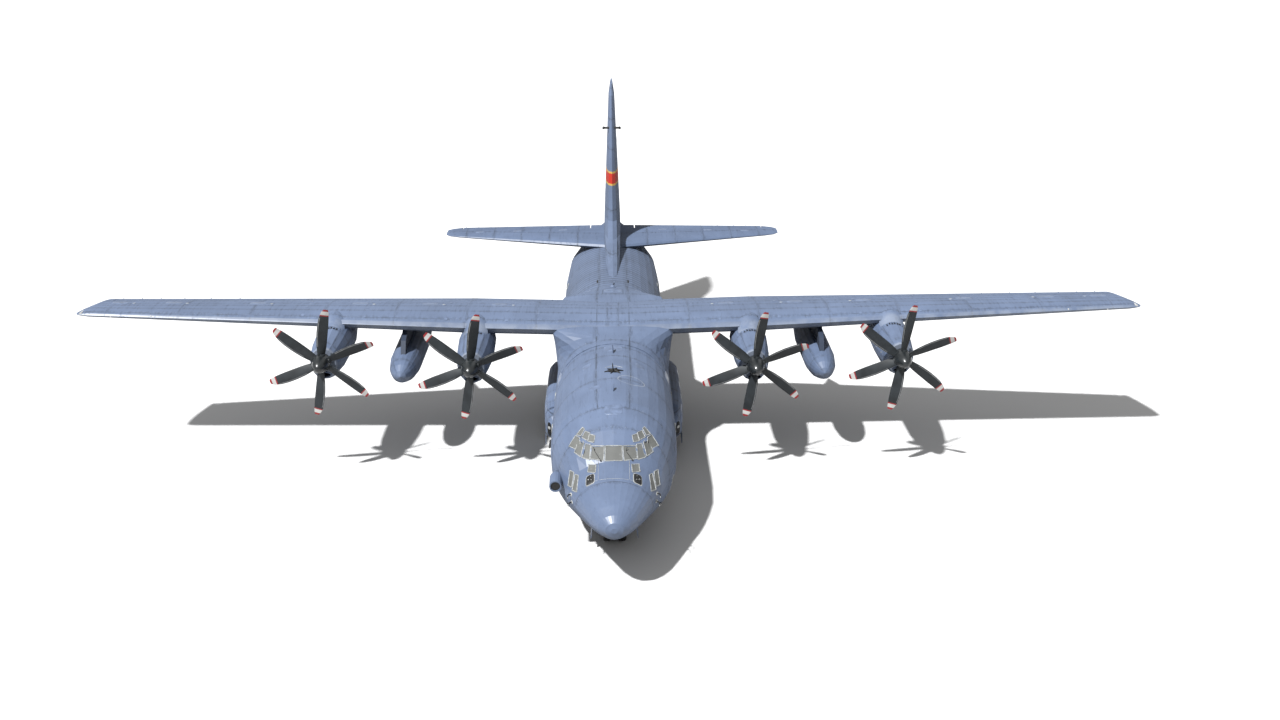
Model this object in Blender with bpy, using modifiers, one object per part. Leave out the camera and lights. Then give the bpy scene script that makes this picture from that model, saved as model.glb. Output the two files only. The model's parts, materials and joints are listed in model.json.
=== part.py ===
"""Half-size model of a four-engined military transport plane.

Everything is drawn at full size in metres, nose tip at y = 0, +Y aft, +X to the
plane's left (port) side, z = 0 on the ground. The datum empty halves it and puts
the middle of the plane's length over the origin.
"""
import math

import bmesh
import bpy
from mathutils import Matrix, Vector

# Driving dimensions at full size
MODEL_SCALE = 0.5
LENGTH = 29.79
HALF_SPAN = 20.205
HEIGHT = 11.84
GAP = 0.0006
RUNNING = 0.014
END_RUNNING = 0.026
AILERON_RUNNING = 0.044
ELEVATOR_RUNNING = 0.056
# Radius of a control surface's hinge pins
CONTROL_PIN = 0.016

# Fuselage
RING_SIDES = 32
WALL = 0.08
AFT_WALL = 0.05
TAIL_CONE_WALL = 0.035
GLASS = 0.02
RADOME_END = 1.70
COCKPIT_END = 4.85
FORWARD_END = 10.40
CENTRE_END = 16.40
AFT_END = 24.20
FLOOR_TOP = 1.03
FLOOR_THICKNESS = 0.10
FLOOR_END = 16.98

# y, half width, top, bottom, height of the widest point, squareness of the lower half
FUSELAGE = [
    (0.00, 0.10, 2.44, 2.27, 2.35, 2.0),
    (0.06, 0.28, 2.60, 2.10, 2.33, 1.9),
    (0.25, 0.51, 2.77, 1.93, 2.33, 1.8),
    (0.60, 0.76, 2.92, 1.78, 2.32, 1.7),
    (1.10, 0.99, 3.07, 1.53, 2.33, 1.6),
    (1.70, 1.25, 3.23, 1.25, 2.34, 1.6),
    (2.52, 1.57, 3.53, 0.945, 2.40, 1.7),
    (2.88, 1.71, 3.95, 0.86, 2.45, 1.8),
    (3.40, 1.87, 4.25, 0.78, 2.52, 2.05),
    (4.00, 2.01, 4.48, 0.70, 2.60, 2.35),
    (4.85, 2.15, 4.69, 0.66, 2.72, 2.7),
    (6.20, 2.19, 4.86, 0.62, 2.76, 3.0),
    (10.40, 2.19, 4.90, 0.62, 2.76, 3.0),
    (17.00, 2.19, 4.90, 0.62, 2.76, 3.0),
    (18.50, 2.19, 4.90, 0.93, 2.82, 2.9),
    (20.10, 2.18, 4.90, 1.42, 2.95, 2.7),
    (22.00, 2.15, 4.90, 2.15, 3.20, 2.5),
    (24.20, 1.99, 4.88, 3.00, 3.62, 2.3),
    (26.00, 1.50, 4.82, 3.55, 3.95, 2.1),
    (28.00, 0.90, 4.72, 3.95, 4.20, 2.0),
    (29.30, 0.42, 4.60, 4.16, 4.34, 2.0),
    (LENGTH, 0.10, 4.46, 4.30, 4.38, 2.0),
]

# Cockpit windows of one side: name, axis that they are cut along, corners in the other two
PANES = [
    ("windscreen_front", "Y", [(0.345, 3.55), (0.735, 3.56), (0.71, 3.855), (0.315, 3.905)]),
    ("windscreen_middle", "Y", [(0.785, 3.54), (1.015, 3.555), (0.905, 3.855), (0.75, 3.875)]),
    ("windscreen_corner", "Y", [(1.07, 3.57), (1.265, 3.60), (1.15, 3.89), (0.975, 3.865)]),
    ("side_window", "X", [(3.13, 3.63), (3.49, 3.64), (3.68, 3.92), (3.46, 3.92)]),
    ("foot_window_front", "X", [(1.90, 2.77), (2.15, 2.71), (2.51, 3.08), (2.37, 3.09)]),
    ("foot_window_rear", "X", [(2.25, 2.77), (2.48, 2.72), (2.73, 3.11), (2.59, 3.10)]),
    ("nose_window", "Z", [(0.60, 2.18), (0.825, 2.31), (0.805, 2.545), (0.585, 2.475)]),
    ("eyebrow_outer", "Z", [(1.02, 3.83), (0.97, 3.73), (1.07, 3.53), (1.20, 3.70)]),
    ("eyebrow_middle", "Z", [(0.93, 3.62), (0.79, 3.46), (0.85, 3.24), (1.02, 3.43)]),
    ("eyebrow_inner", "Z", [(0.77, 3.40), (0.62, 3.29), (0.65, 3.09), (0.82, 3.20)]),
]
CENTRE_PANE = [(-0.27, 3.55), (0.27, 3.55), (0.255, 3.91), (-0.255, 3.91)]
PANE_REACH = {"X": (1.0, 2.5), "Y": (1.7, 4.0), "Z": (3.0, 5.0)}

# Crew door on the port side
CREW_DOOR_FRONT = 3.72
CREW_DOOR_BACK = 4.50
CREW_DOOR_SILL = 1.10
CREW_DOOR_TOP = 2.56

# Rear ramp and aft cargo door
RAMP_HALF_WIDTH = 1.50
RAMP_PIVOT = (17.05, 0.953)
RAMP_TOE = 0.333
RAMP_END = 20.10
RAMP_END_FLOOR = 1.76
RAMP_REACH = 3.00
AFT_DOOR_HALF_WIDTH = 1.46
AFT_DOOR_PIVOT = (23.87, 3.055)
AFT_DOOR_END = 23.92

# Paratroop doors
PARA_DOOR_FRONT = 16.52
PARA_DOOR_BACK = 17.43
PARA_DOOR_BOTTOM = 1.14
PARA_DOOR_TOP = 2.97

# Wing: x, leading edge y, leading edge z, chord, thickness ratio, incidence in degrees
WING = [
    (0.00, 11.22, 4.90, 4.62, 0.185, 4.0),
    (5.60, 11.22, 5.06, 4.62, 0.180, 4.0),
    (19.74, 11.22, 5.683, 2.445, 0.125, 3.4),
    (19.95, 11.24, 5.690, 1.72, 0.120, 3.4),
    (20.12, 11.28, 5.695, 1.02, 0.120, 3.4),
    (HALF_SPAN, 11.34, 5.700, 0.44, 0.120, 3.4),
]
CENTRE_WING_END = 5.60
AILERON_IN = 12.10
AILERON_OUT = 19.45
FLAP_GAPS = 0.06
INNER_FLAP_IN = 2.45
OUTER_FLAP_OUT = 12.00
CONTROL_FRACTION = 0.74
WING_SKIN = 0.05
CONTROL_SKIN = 0.02
NOSE_START = 100
LIP_ROOM = 12
SPAR_FRONT = 0.05
SPAR_REAR = 0.66
FLAP_PIVOT_DROP = 0.75

# Fairing between wing and fuselage: turn about the fuselage's section in degrees, then
# the x and z that the fairing reaches there
FAIRING_SHAPE = [
    (18, 2.12, 3.40), (28, 2.17, 3.72), (38, 2.20, 4.08), (46, 2.24, 4.42), (53, 2.31, 4.80),
    (60, 2.20, 4.98), (67, 1.78, 5.04), (75, 1.20, 5.06), (83, 0.60, 5.06), (90, 0.0, 5.06),
]
# Fairing: y, share of its full shape
FAIRING = [
    (9.80, 0.02), (10.20, 0.10), (10.60, 0.34), (10.90, 0.66), (11.15, 0.92), (11.40, 1.00),
    (13.60, 0.96), (14.30, 0.90), (15.40, 0.80), (16.00, 0.50), (16.50, 0.22), (17.00, 0.02),
]

# Tailplane: x, leading edge y, leading edge z, chord, thickness ratio, incidence
TAILPLANE = [
    (0.00, 22.95, 4.86, 4.18, 0.120, 0.0),
    (7.35, 25.03, 4.86, 1.72, 0.105, 0.0),
    (7.80, 25.20, 4.86, 1.36, 0.080, 0.0),
    (8.025, 25.46, 4.86, 0.88, 0.050, 0.0),
]
ELEVATOR_IN = 1.05
ELEVATOR_OUT = 7.35
ELEVATOR_FRACTION = 0.68
TAIL_SKIN = 0.02

# Fin: z, leading edge y, chord, thickness
FIN = [
    (4.60, 17.40, 11.30, 0.50),
    (4.90, 18.15, 10.55, 0.62),
    (5.05, 19.20, 9.50, 0.68),
    (5.55, 21.85, 6.90, 0.74),
    (6.10, 23.05, 5.75, 0.72),
    (11.40, 26.05, 2.95, 0.27),
    (HEIGHT, 26.75, 2.05, 0.12),
]
RUDDER_BOTTOM = 5.30
RUDDER_TOP = 11.20
RUDDER_FRACTION_Y = 27.35

# Engines: name, x, height of the thrust line
ENGINES = [
    ("outer_left", 10.62, 4.56),
    ("inner_left", 5.22, 4.34),
    ("inner_right", -5.22, 4.34),
    ("outer_right", -10.62, 4.56),
]
PROP_PLANE = 8.95
PROP_RADIUS = 2.057
BLADES = 6
BLADE_CLOCK = math.radians(11.5)
NACELLE_FRONT = 9.25
# Nacelle, about the thrust line: y, half width, top, bottom
NACELLE = [
    (NACELLE_FRONT, 0.46, 0.44, -0.74),
    (9.60, 0.56, 0.54, -0.87),
    (10.40, 0.66, 0.66, -0.93),
    (11.40, 0.70, 0.78, -0.90),
    (12.40, 0.66, 0.55, -0.78),
    (13.40, 0.50, 0.25, -0.58),
    (13.95, 0.34, 0.05, -0.44),
]
NACELLE_SIDES = 18
NACELLE_WALL = 0.05
BULKHEAD = 0.12
ENGINE_LENGTH = 2.90
ENGINE_RADIUS = 0.36
ENGINE_DROP = 0.20
# Spinner and hub profile: radius, distance ahead of the propeller plane
SPINNER = [
    (0.0, 0.70), (0.08, 0.68), (0.17, 0.60), (0.25, 0.44), (0.30, 0.22),
    (0.32, -0.20), (0.14, -0.20), (0.14, -0.2994), (0.0, -0.2994),
]
# Blade: radius, chord, pitch in degrees from the disc, sweep, thickness
BLADE = [
    (0.22, 0.24, 40.0, 0.03, 0.11),
    (0.60, 0.36, 34.0, 0.06, 0.07),
    (1.15, 0.42, 27.0, 0.10, 0.045),
    (1.70, 0.38, 21.0, 0.11, 0.03),
    (PROP_RADIUS, 0.20, 17.0, 0.07, 0.012),
]

# External tanks
TANK_X = 7.97
TANK_NOSE = 9.87
TANK_HEIGHT = 3.62
# Tank profile: distance behind the nose, radius
TANK = [
    (0.0, 0.0), (0.10, 0.20), (0.35, 0.37), (0.80, 0.51), (1.50, 0.59),
    (4.20, 0.60), (5.20, 0.52), (6.20, 0.33), (7.00, 0.0),
]

# Sponsons: y, outer side, top, bottom
SPONSON = [
    (9.45, 2.30, 1.85, 1.45),
    (9.75, 2.50, 2.08, 1.10),
    (10.40, 2.64, 2.26, 0.74),
    (11.20, 2.69, 2.34, 0.60),
    (14.70, 2.68, 2.34, 0.60),
    (15.60, 2.60, 2.10, 0.64),
    (16.25, 2.53, 1.50, 0.70),
    (16.50, 2.49, 1.10, 0.72),
    (17.10, 2.38, 1.06, 0.78),
    (17.60, 2.24, 1.00, 0.86),
]
SPONSON_INNER = 1.60

# Landing gear
MAIN_WHEEL_X = 2.215
MAIN_WHEELS_Y = (12.22, 13.76)
MAIN_TYRE_RADIUS = 0.71
MAIN_TYRE_WIDTH = 0.44
STRUT_X = 2.535
STRUT_RADIUS = 0.058
WELL_TOP = 1.62
NOSE_WHEEL_Y = 3.80
NOSE_WHEEL_X = 0.26
NOSE_TYRE_RADIUS = 0.49
NOSE_TYRE_WIDTH = 0.28
NOSE_WELL_HALF = 0.66
NOSE_WELL_Y = (3.00, 4.70)
BEAM = 0.08
# Tyre and rim profile as fractions: of the half width, of the radius
TYRE = [
    (0.45, 0.30), (0.80, 0.50), (1.00, 0.72), (0.90, 0.93), (0.55, 1.0),
]

# Paint: name, colour, roughness, metallic
FINISHES = {
    "grey_paint": ((0.23, 0.29, 0.42), 0.45, 0.0),
    "light_grey_paint": ((0.30, 0.36, 0.47), 0.45, 0.0),
    "radome_paint": ((0.25, 0.31, 0.44), 0.35, 0.0),
    "blade_composite": ((0.045, 0.055, 0.06), 0.35, 0.0),
    "window_glass": ((0.27, 0.28, 0.27), 0.15, 0.0),
    "tyre_rubber": ((0.02, 0.02, 0.02), 0.85, 0.0),
    "gear_steel": ((0.55, 0.56, 0.56), 0.35, 0.8),
    "floor_metal": ((0.16, 0.17, 0.18), 0.6, 0.4),
    "engine_metal": ((0.25, 0.24, 0.23), 0.5, 0.8),
}


def clear_scene():
    for existing in list(bpy.data.objects):
        bpy.data.objects.remove(existing, do_unlink=True)


def new_collection(name):
    group = bpy.data.collections.new(name)
    bpy.context.scene.collection.children.link(group)
    return group


clear_scene()
PLANE = new_collection("military_transport_plane")
CUTTERS = new_collection("cutters")
DATUM = bpy.data.objects.new("datum", None)
DATUM.scale = (MODEL_SCALE,) * 3
DATUM.location = (0.0, -LENGTH / 2 * MODEL_SCALE, 0.0)
PLANE.objects.link(DATUM)


def finish(name):
    material = bpy.data.materials.get(name)
    if material:
        return material
    colour, roughness, metallic = FINISHES[name]
    material = bpy.data.materials.new(name)
    material.use_nodes = True
    shader = material.node_tree.nodes["Principled BSDF"]
    shader.inputs["Base Color"].default_value = (*colour, 1.0)
    shader.inputs["Roughness"].default_value = roughness
    shader.inputs["Metallic"].default_value = metallic
    return material


def solid(name, work, paint=None, smooth=True):
    """An object from a bmesh: a sub-part with its paint, or a cutter without one."""
    bmesh.ops.recalc_face_normals(work, faces=work.faces)
    mesh = bpy.data.meshes.new(name)
    work.to_mesh(mesh)
    work.free()
    thing = bpy.data.objects.new(name, mesh)
    thing.parent = DATUM
    if paint:
        PLANE.objects.link(thing)
        mesh.materials.append(finish(paint))
        if smooth:
            mesh.shade_smooth()
            mesh.set_sharp_from_angle(angle=math.radians(35))
    else:
        CUTTERS.objects.link(thing)
        thing.hide_render = True
        thing.display_type = "WIRE"
    return thing


def loft_faces(work, rings):
    """Skins rings of equal length with triangles; returns the vertices, ring by ring."""
    rows = [[work.verts.new(point) for point in ring] for ring in rings]
    count = len(rings[0])
    for low, high in zip(rows, rows[1:]):
        for i in range(count):
            j = (i + 1) % count
            work.faces.new((low[i], low[j], high[j]))
            work.faces.new((low[i], high[j], high[i]))
    return rows


def loft(name, rings, paint=None):
    """A closed body through rings of points."""
    work = bmesh.new()
    rows = loft_faces(work, rings)
    work.faces.new(rows[0])
    work.faces.new(rows[-1])
    return solid(name, work, paint)


def hollow_loft(name, outer, inner, paint=None, open_end=True):
    """A shell between two lofts, open at its first ring, and at its last one if asked."""
    work = bmesh.new()
    outside = loft_faces(work, outer)
    inside = loft_faces(work, inner)
    rims = [(outside[0], inside[0])]
    if open_end:
        rims.append((outside[-1], inside[-1]))
    else:
        work.faces.new(outside[-1])
        work.faces.new(inside[-1])
    count = len(outer[0])
    for big, small in rims:
        for i in range(count):
            j = (i + 1) % count
            work.faces.new((big[i], big[j], small[j], small[i]))
    return solid(name, work, paint)


def prism(name, outline, axis, low, high, paint=None):
    """An outline pushed along X (outline in y, z), Y (in x, z) or Z (in x, y)."""
    place = {
        "X": lambda p, s: (s, p[0], p[1]),
        "Y": lambda p, s: (p[0], s, p[1]),
        "Z": lambda p, s: (p[0], p[1], s),
    }[axis]
    work = bmesh.new()
    face = work.faces.new([work.verts.new(place(p, low)) for p in outline])
    pushed = bmesh.ops.extrude_face_region(work, geom=[face])
    moved = [v for v in pushed["geom"] if isinstance(v, bmesh.types.BMVert)]
    shift = Vector(place((0.0, 0.0), high)) - Vector(place((0.0, 0.0), low))
    bmesh.ops.translate(work, verts=moved, vec=shift)
    return solid(name, work, paint, smooth=False)


def box(name, low, high, paint=None):
    work = bmesh.new()
    bmesh.ops.create_cube(work, size=1.0)
    low, high = Vector(low), Vector(high)
    bmesh.ops.scale(work, vec=high - low, verts=work.verts)
    bmesh.ops.translate(work, vec=(low + high) / 2, verts=work.verts)
    return solid(name, work, paint, smooth=False)


def rod(name, start, end, radius, paint=None, sides=12):
    """A cylinder between two points."""
    start, end = Vector(start), Vector(end)
    work = bmesh.new()
    bmesh.ops.create_cone(
        work, cap_ends=True, segments=sides, radius1=radius, radius2=radius,
        depth=(end - start).length,
    )
    turn = Vector((0, 0, 1)).rotation_difference(end - start).to_matrix().to_4x4()
    bmesh.ops.transform(
        work, matrix=Matrix.Translation((start + end) / 2) @ turn, verts=work.verts
    )
    return solid(name, work, paint)


def circle(centre, radius, x, sides=10):
    """A ring in the plane of constant x about centre (y, z)."""
    turns = [2 * math.pi * i / sides for i in range(sides)]
    return [
        (x, centre[0] + radius * math.cos(a), centre[1] + radius * math.sin(a))
        for a in turns
    ]


def turned(name, profile, centre, axis, steps, paint=None):
    """A profile of (radius, height) pairs, top first, turned about an axis through centre."""
    work = bmesh.new()
    points = [work.verts.new((radius, 0.0, height)) for radius, height in profile]
    for first, second in zip(points, points[1:]):
        work.edges.new((first, second))
    thing = solid(name, work, paint)
    screw = thing.modifiers.new("turn", "SCREW")
    screw.steps = steps
    screw.render_steps = steps
    screw.use_merge_vertices = True
    screw.merge_threshold = 0.0001
    thing.location = centre
    thing.rotation_euler = {
        "forward": (math.radians(90), 0.0, 0.0),
        "sideways": (0.0, math.radians(90), 0.0),
    }[axis]
    return thing


def combine(target, operation, *tools):
    for tool in tools:
        step = target.modifiers.new(tool.name, "BOOLEAN")
        step.operation = operation
        step.object = tool
    return target


def cut(target, *tools):
    return combine(target, "DIFFERENCE", *tools)


def join(target, *tools):
    return combine(target, "UNION", *tools)


def keep_inside(target, *tools):
    return combine(target, "INTERSECT", *tools)


def set_pivot(thing, pivot):
    """Puts an object's origin on its joint's axis, with the shape left in place."""
    thing.data.transform(Matrix.Translation(-Vector(pivot)))
    thing.location = pivot
    return thing


def between(table, key):
    """A row of a table at any key, on a smooth curve through its neighbours."""
    last = len(table) - 1
    i = max(0, min(last - 1, sum(row[0] <= key for row in table) - 1))
    left, right = table[i], table[i + 1]
    width = right[0] - left[0]
    t = (key - left[0]) / width
    before, after = table[max(i - 1, 0)], table[min(i + 2, last)]
    values = [key]
    for k in range(1, len(left)):
        step = (right[k] - left[k]) / width
        slopes = []
        for a, b in ((before, left), (right, after)):
            other = (b[k] - a[k]) / (b[0] - a[0]) if b[0] != a[0] else step
            same_way = other * step > 0
            slopes.append(2 * other * step / (other + step) if same_way else 0.0)
        h = (2 * t ** 3 - 3 * t ** 2 + 1, t ** 3 - 2 * t ** 2 + t)
        g = (3 * t ** 2 - 2 * t ** 3, t ** 3 - t ** 2)
        values.append(
            h[0] * left[k] + h[1] * slopes[0] * width
            + g[0] * right[k] + g[1] * slopes[1] * width
        )
    return values


def straight(table, key):
    """A row of a table at any key, on straight lines."""
    last = len(table) - 1
    i = max(0, min(last - 1, sum(row[0] <= key for row in table) - 1))
    left, right = table[i], table[i + 1]
    t = (key - left[0]) / (right[0] - left[0])
    return [key] + [a + (b - a) * t for a, b in zip(left[1:], right[1:])]


def fuselage_ring(y, inset=0.0):
    """The fuselage's cross-section at y, drawn in by inset."""
    _, half, top, bottom, middle, square = between(FUSELAGE, y)
    ring = []
    for i in range(RING_SIDES):
        angle = 2 * math.pi * i / RING_SIDES
        c, s = math.cos(angle), math.sin(angle)
        power = 2.0 if s >= 0 else square
        reach = top - middle if s >= 0 else middle - bottom
        ring.append((
            math.copysign(abs(c) ** (2 / power), c) * (half - inset),
            y,
            middle + math.copysign(abs(s) ** (2 / power), s) * (reach - inset),
        ))
    return ring


def fuselage_side(y, z):
    """How far out the port side is at y and z."""
    _, half, top, bottom, middle, square = between(FUSELAGE, y)
    power = 2.0 if z >= middle else square
    reach = top - middle if z >= middle else middle - bottom
    return half * max(0.0, 1 - abs((z - middle) / reach) ** power) ** (1 / power)


def stations(start, end):
    """Where the fuselage's sections lie between two frames."""
    inside = [row[0] for row in FUSELAGE if start + 0.05 < row[0] < end - 0.05]
    return [start] + inside + [end]


def fuselage_solid(name, start, end, inset=0.0, paint=None):
    return loft(name, [fuselage_ring(y, inset) for y in stations(start, end)], paint)


def fuselage_shell(name, start, end, paint, inset=0.0, wall=WALL):
    """A length of the fuselage's wall, or a lining drawn in from the skin by inset."""
    ys = stations(start + GAP / 2, end - GAP / 2)
    outer = [fuselage_ring(y, inset) for y in ys]
    inner = [fuselage_ring(y, inset + wall) for y in ys]
    return hollow_loft(name, outer, inner, paint)


def half_thickness(ratio, s):
    return 5 * ratio * (
        0.2969 * math.sqrt(s) - 0.1260 * s - 0.3516 * s ** 2
        + 0.2843 * s ** 3 - 0.1015 * s ** 4
    ) + 0.0015


def camber(s):
    return 0.06 * s * (1 - s)


def airfoil(thickness, points=11):
    """A closed section of unit chord: (along, up), from the upper trailing edge round."""
    steps = [0.5 * (1 - math.cos(math.pi * i / points)) for i in range(points + 1)]
    upper = [(s, camber(s) + half_thickness(thickness, s)) for s in reversed(steps)]
    lower = [(s, camber(s) - half_thickness(thickness, s)) for s in steps[1:]]
    return upper + lower


def chord_point(row, along, up):
    """A point of a wing section, along its chord and above it, in metres."""
    x, front, height, _, _, incidence = row
    c, s = math.cos(math.radians(incidence)), math.sin(math.radians(incidence))
    return (x, front + along * c + up * s, height - along * s + up * c)


def offset_loop(loop, distance):
    """Moves a closed outline outwards; it runs anticlockwise from above and behind."""
    moved = []
    count = len(loop)
    for i, (a, b) in enumerate(loop):
        before, after = loop[i - 1], loop[(i + 1) % count]
        along, up = after[0] - before[0], after[1] - before[1]
        size = math.hypot(along, up)
        moved.append((a + up / size * distance, b - along / size * distance))
    return moved


def wing_ring(row, grow=0.0):
    chord, thickness = row[3], row[4]
    loop = [(s * chord, t * chord) for s, t in airfoil(thickness)]
    return [chord_point(row, a, b) for a, b in offset_loop(loop, grow)]


def box_ring(row, skin):
    """The hollow between a wing's spars, as a ring."""
    chord = row[3]
    upper, lower = [], []
    for i in range(6):
        s = SPAR_REAR + (SPAR_FRONT - SPAR_REAR) * i / 5
        half = half_thickness(row[4], s) * chord - skin
        upper.append((s * chord, camber(s) * chord + half))
        lower.append((s * chord, camber(s) * chord - half))
    return [chord_point(row, a, b) for a, b in upper + lower[::-1]]


def section_at(table, x):
    return straight(table, abs(x))


def control_centre(table, x, fraction):
    """The middle of a control surface's nose at x, the half thickness there and the row."""
    row = section_at(table, x)
    middle, half = camber(fraction), half_thickness(row[4], fraction)
    centre = chord_point(row, fraction * row[3], middle * row[3])
    return Vector((x, centre[1], centre[2])), half * row[3], row


def nose_arc(radius, clear):
    """A control surface's round nose, or its bay's front, which opens further ahead."""
    start = NOSE_START + (LIP_ROOM if clear else 0)
    turns = [math.radians(start + (360 - 2 * start) * i / 8) for i in range(9)]
    return [(radius * math.cos(a), radius * math.sin(a)) for a in turns]


def bay_ring(table, x, fraction, clear):
    """The bay of a control surface at x: a round front, open above, below and behind."""
    centre, half, row = control_centre(table, x, fraction)
    radius = half * 1.03 + clear
    tilt = math.radians(row[5])
    reach = row[3]
    nose = nose_arc(radius, clear)
    back = nose[0][0]
    local = [(reach, 1.0), (back, 1.0), *nose, (back, -1.0), (reach, -1.0)]
    c, s = math.cos(tilt), math.sin(tilt)
    return [(x, centre.y + a * c + b * s, centre.z - a * s + b * c) for a, b in local]


def bay(name, table, x_in, x_out, fraction, clear=0.0):
    rings = [bay_ring(table, x, fraction, clear) for x in (x_in, x_out)]
    return loft(name, rings)


def wedge_ring(table, x, fraction):
    """The hollow of a control surface at x: a wedge between its pin and its trailing edge."""
    row = section_at(table, x)
    chord = row[3]
    near, far = fraction + 0.07 / chord, fraction + 0.68 * (1 - fraction)
    half = half_thickness(row[4], near) * chord - CONTROL_SKIN
    middle = camber(near) * chord
    corners = [
        (near * chord, middle + half), (far * chord, camber(far) * chord),
        (near * chord, middle - half),
    ]
    return [(x, *chord_point(row, a, b)[1:]) for a, b in corners]


def control_surface(name, table, blank, x_in, x_out, fraction, ends, paint):
    """A control surface: the wing's own section behind the bay, with a pin at each end."""
    side = math.copysign(1.0, x_out)
    rings = [
        bay_ring(table, x, fraction, 0.0)
        for x in (x_in + side * ends, x_out - side * ends)
    ]
    surface = loft(name, rings, paint)
    keep_inside(surface, blank)
    hollow = [wedge_ring(table, x, fraction) for x in (x_in, x_out - side * (ends + 0.04))]
    cut(surface, loft(f"{name}_hollow", hollow))
    for tag, edge, inwards in (("in", x_in, 1.0), ("out", x_out, -1.0)):
        rings = []
        for distance in (2 * GAP, ends + 0.05):
            x = edge + side * inwards * distance
            centre, half, _ = control_centre(table, x, fraction)
            rings.append(circle(centre.yz, min(CONTROL_PIN, half * 0.6), x))
        join(surface, loft(f"{name}_pin_{tag}", rings))
    return surface


def mirror_x(points):
    return [(-x, other) for x, other in points]


def window_cutters():
    """One cutter through the wall for each cockpit window, on both sides."""
    cutters = [prism("centre_pane", CENTRE_PANE, "Y", *PANE_REACH["Y"])]
    for name, axis, corners in PANES:
        low, high = PANE_REACH[axis]
        cutters.append(prism(f"{name}_left", corners, axis, low, high))
        if axis == "X":
            cutters.append(prism(f"{name}_right", corners, axis, -high, -low))
        else:
            cutters.append(prism(f"{name}_right", mirror_x(corners), axis, low, high))
    return cutters


def crew_door_hinge():
    """The two ends of the crew door's hinge line, on the outer skin."""
    ends = (CREW_DOOR_FRONT, CREW_DOOR_BACK)
    return [
        Vector((fuselage_side(y, CREW_DOOR_SILL), y, CREW_DOOR_SILL)) for y in ends
    ]


def crew_door_prism(name, ends, low, high):
    """A block across the skin along the hinge line, ends drawn in and edges set by height."""
    front, back = crew_door_hinge()
    along = (back - front).normalized()
    up = (Vector((0, 0, 1)) - along * along.z).normalized()
    out = along.cross(up) * -1
    corners = [(-0.9, low), (0.9, low), (0.9, high), (-0.9, high)]
    rings = []
    for point in (front + along * ends, back - along * ends):
        rings.append([tuple(point + out * w + up * v) for w, v in corners])
    return loft(name, rings)


def build_crew_door():
    height = CREW_DOOR_TOP - CREW_DOOR_SILL
    door = fuselage_shell("crew_door", 3.0, COCKPIT_END, "grey_paint")
    keep_inside(door, crew_door_prism("crew_door_block", RUNNING, -0.022, height))
    front, back = crew_door_hinge()
    along = (back - front).normalized()
    for tag, start, end in (("front", front, back), ("back", back, front)):
        way = (end - start).normalized()
        pin = rod(f"crew_door_pin_{tag}", start + way * 2 * GAP, start + way * 0.06, 0.03)
        join(door, pin)
    opening = crew_door_prism("crew_door_opening", 0.0, -0.036, height + RUNNING)
    set_pivot(door, (front + back) / 2)
    return opening


def build_front_fuselage():
    ys = stations(0.0, RADOME_END - GAP / 2)
    loft("radome", [fuselage_ring(y) for y in ys], "radome_paint")
    shell = fuselage_shell("flight_deck_shell", RADOME_END, COCKPIT_END, "grey_paint")
    well = box(
        "nose_well_opening",
        (-NOSE_WELL_HALF, NOSE_WELL_Y[0], 0.0), (NOSE_WELL_HALF, NOSE_WELL_Y[1], 1.25),
    )
    cut(shell, *window_cutters(), well, build_crew_door())
    glazing = fuselage_shell(
        "flight_deck_glazing", RADOME_END, COCKPIT_END, "window_glass", WALL + GAP, GLASS
    )
    keep_inside(glazing, box("glazing_room", (-3, 1.75, 2.45), (3, 4.25, 6)))
    cut(glazing, box("glazing_door", (-3, 3.55, 0), (3, 5, 2.90)))
    deck = box("flight_deck", (-2.2, 2.05, 1.95), (2.2, COCKPIT_END - 0.02, 2.03),
               "floor_metal")
    pieces = [
        box("deck_beam_left", (NOSE_WELL_HALF, NOSE_WELL_Y[0], 0.3),
            (NOSE_WELL_HALF + BEAM, NOSE_WELL_Y[1], 1.97)),
        box("deck_beam_right", (-NOSE_WELL_HALF - BEAM, NOSE_WELL_Y[0], 0.3),
            (-NOSE_WELL_HALF, NOSE_WELL_Y[1], 1.97)),
        prism("instrument_panel", [(2.42, 2.0), (2.72, 2.0), (2.90, 3.25), (2.62, 3.32)],
              "X", -1.2, 1.2),
    ]
    for side in (-1, 1):
        seat = [side * 0.50, side * 1.00]
        seat.sort()
        pieces.append(box(f"seat_base_{side}", (seat[0], 3.20, 2.0), (seat[1], 3.72, 2.50)))
        pieces.append(box(f"seat_back_{side}", (seat[0], 3.66, 2.4), (seat[1], 3.78, 3.20)))
    join(deck, *pieces)
    keep_inside(deck, fuselage_solid("deck_limit", RADOME_END, COCKPIT_END, WALL + GLASS + 2 * GAP))
    cut(deck, box("entry_well", (0.95, 3.60, 1.5), (2.5, 5.0, 2.4)))


def build_middle_fuselage():
    fuselage_shell("forward_fuselage", COCKPIT_END, FORWARD_END, "grey_paint")
    centre = fuselage_shell("centre_fuselage", FORWARD_END, CENTRE_END, "grey_paint")
    cut(centre, WING_CUTTER)
    limit = fuselage_solid("floor_limit", COCKPIT_END, 17.5, WALL + GAP)
    bottom = FLOOR_TOP - FLOOR_THICKNESS
    floor = box("cargo_floor", (-2.2, COCKPIT_END + 0.06, bottom), (2.2, FLOOR_END, FLOOR_TOP),
                "floor_metal")
    keep_inside(floor, limit)
    bulkhead = fuselage_solid(
        "forward_bulkhead", COCKPIT_END, FORWARD_END, WALL + GAP, "light_grey_paint"
    )
    ends = COCKPIT_END + GAP, COCKPIT_END + 0.06 - GAP
    keep_inside(bulkhead, box("bulkhead_slice", (-3, ends[0], 0), (3, ends[1], 6)))
    cut(
        bulkhead,
        box("bulkhead_door", (-0.45, 4.0, FLOOR_TOP), (0.45, 6.0, 3.0)),
        box("bulkhead_entry", (0.70, 4.0, FLOOR_TOP), (1.55, 6.0, 3.0)),
    )


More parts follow.
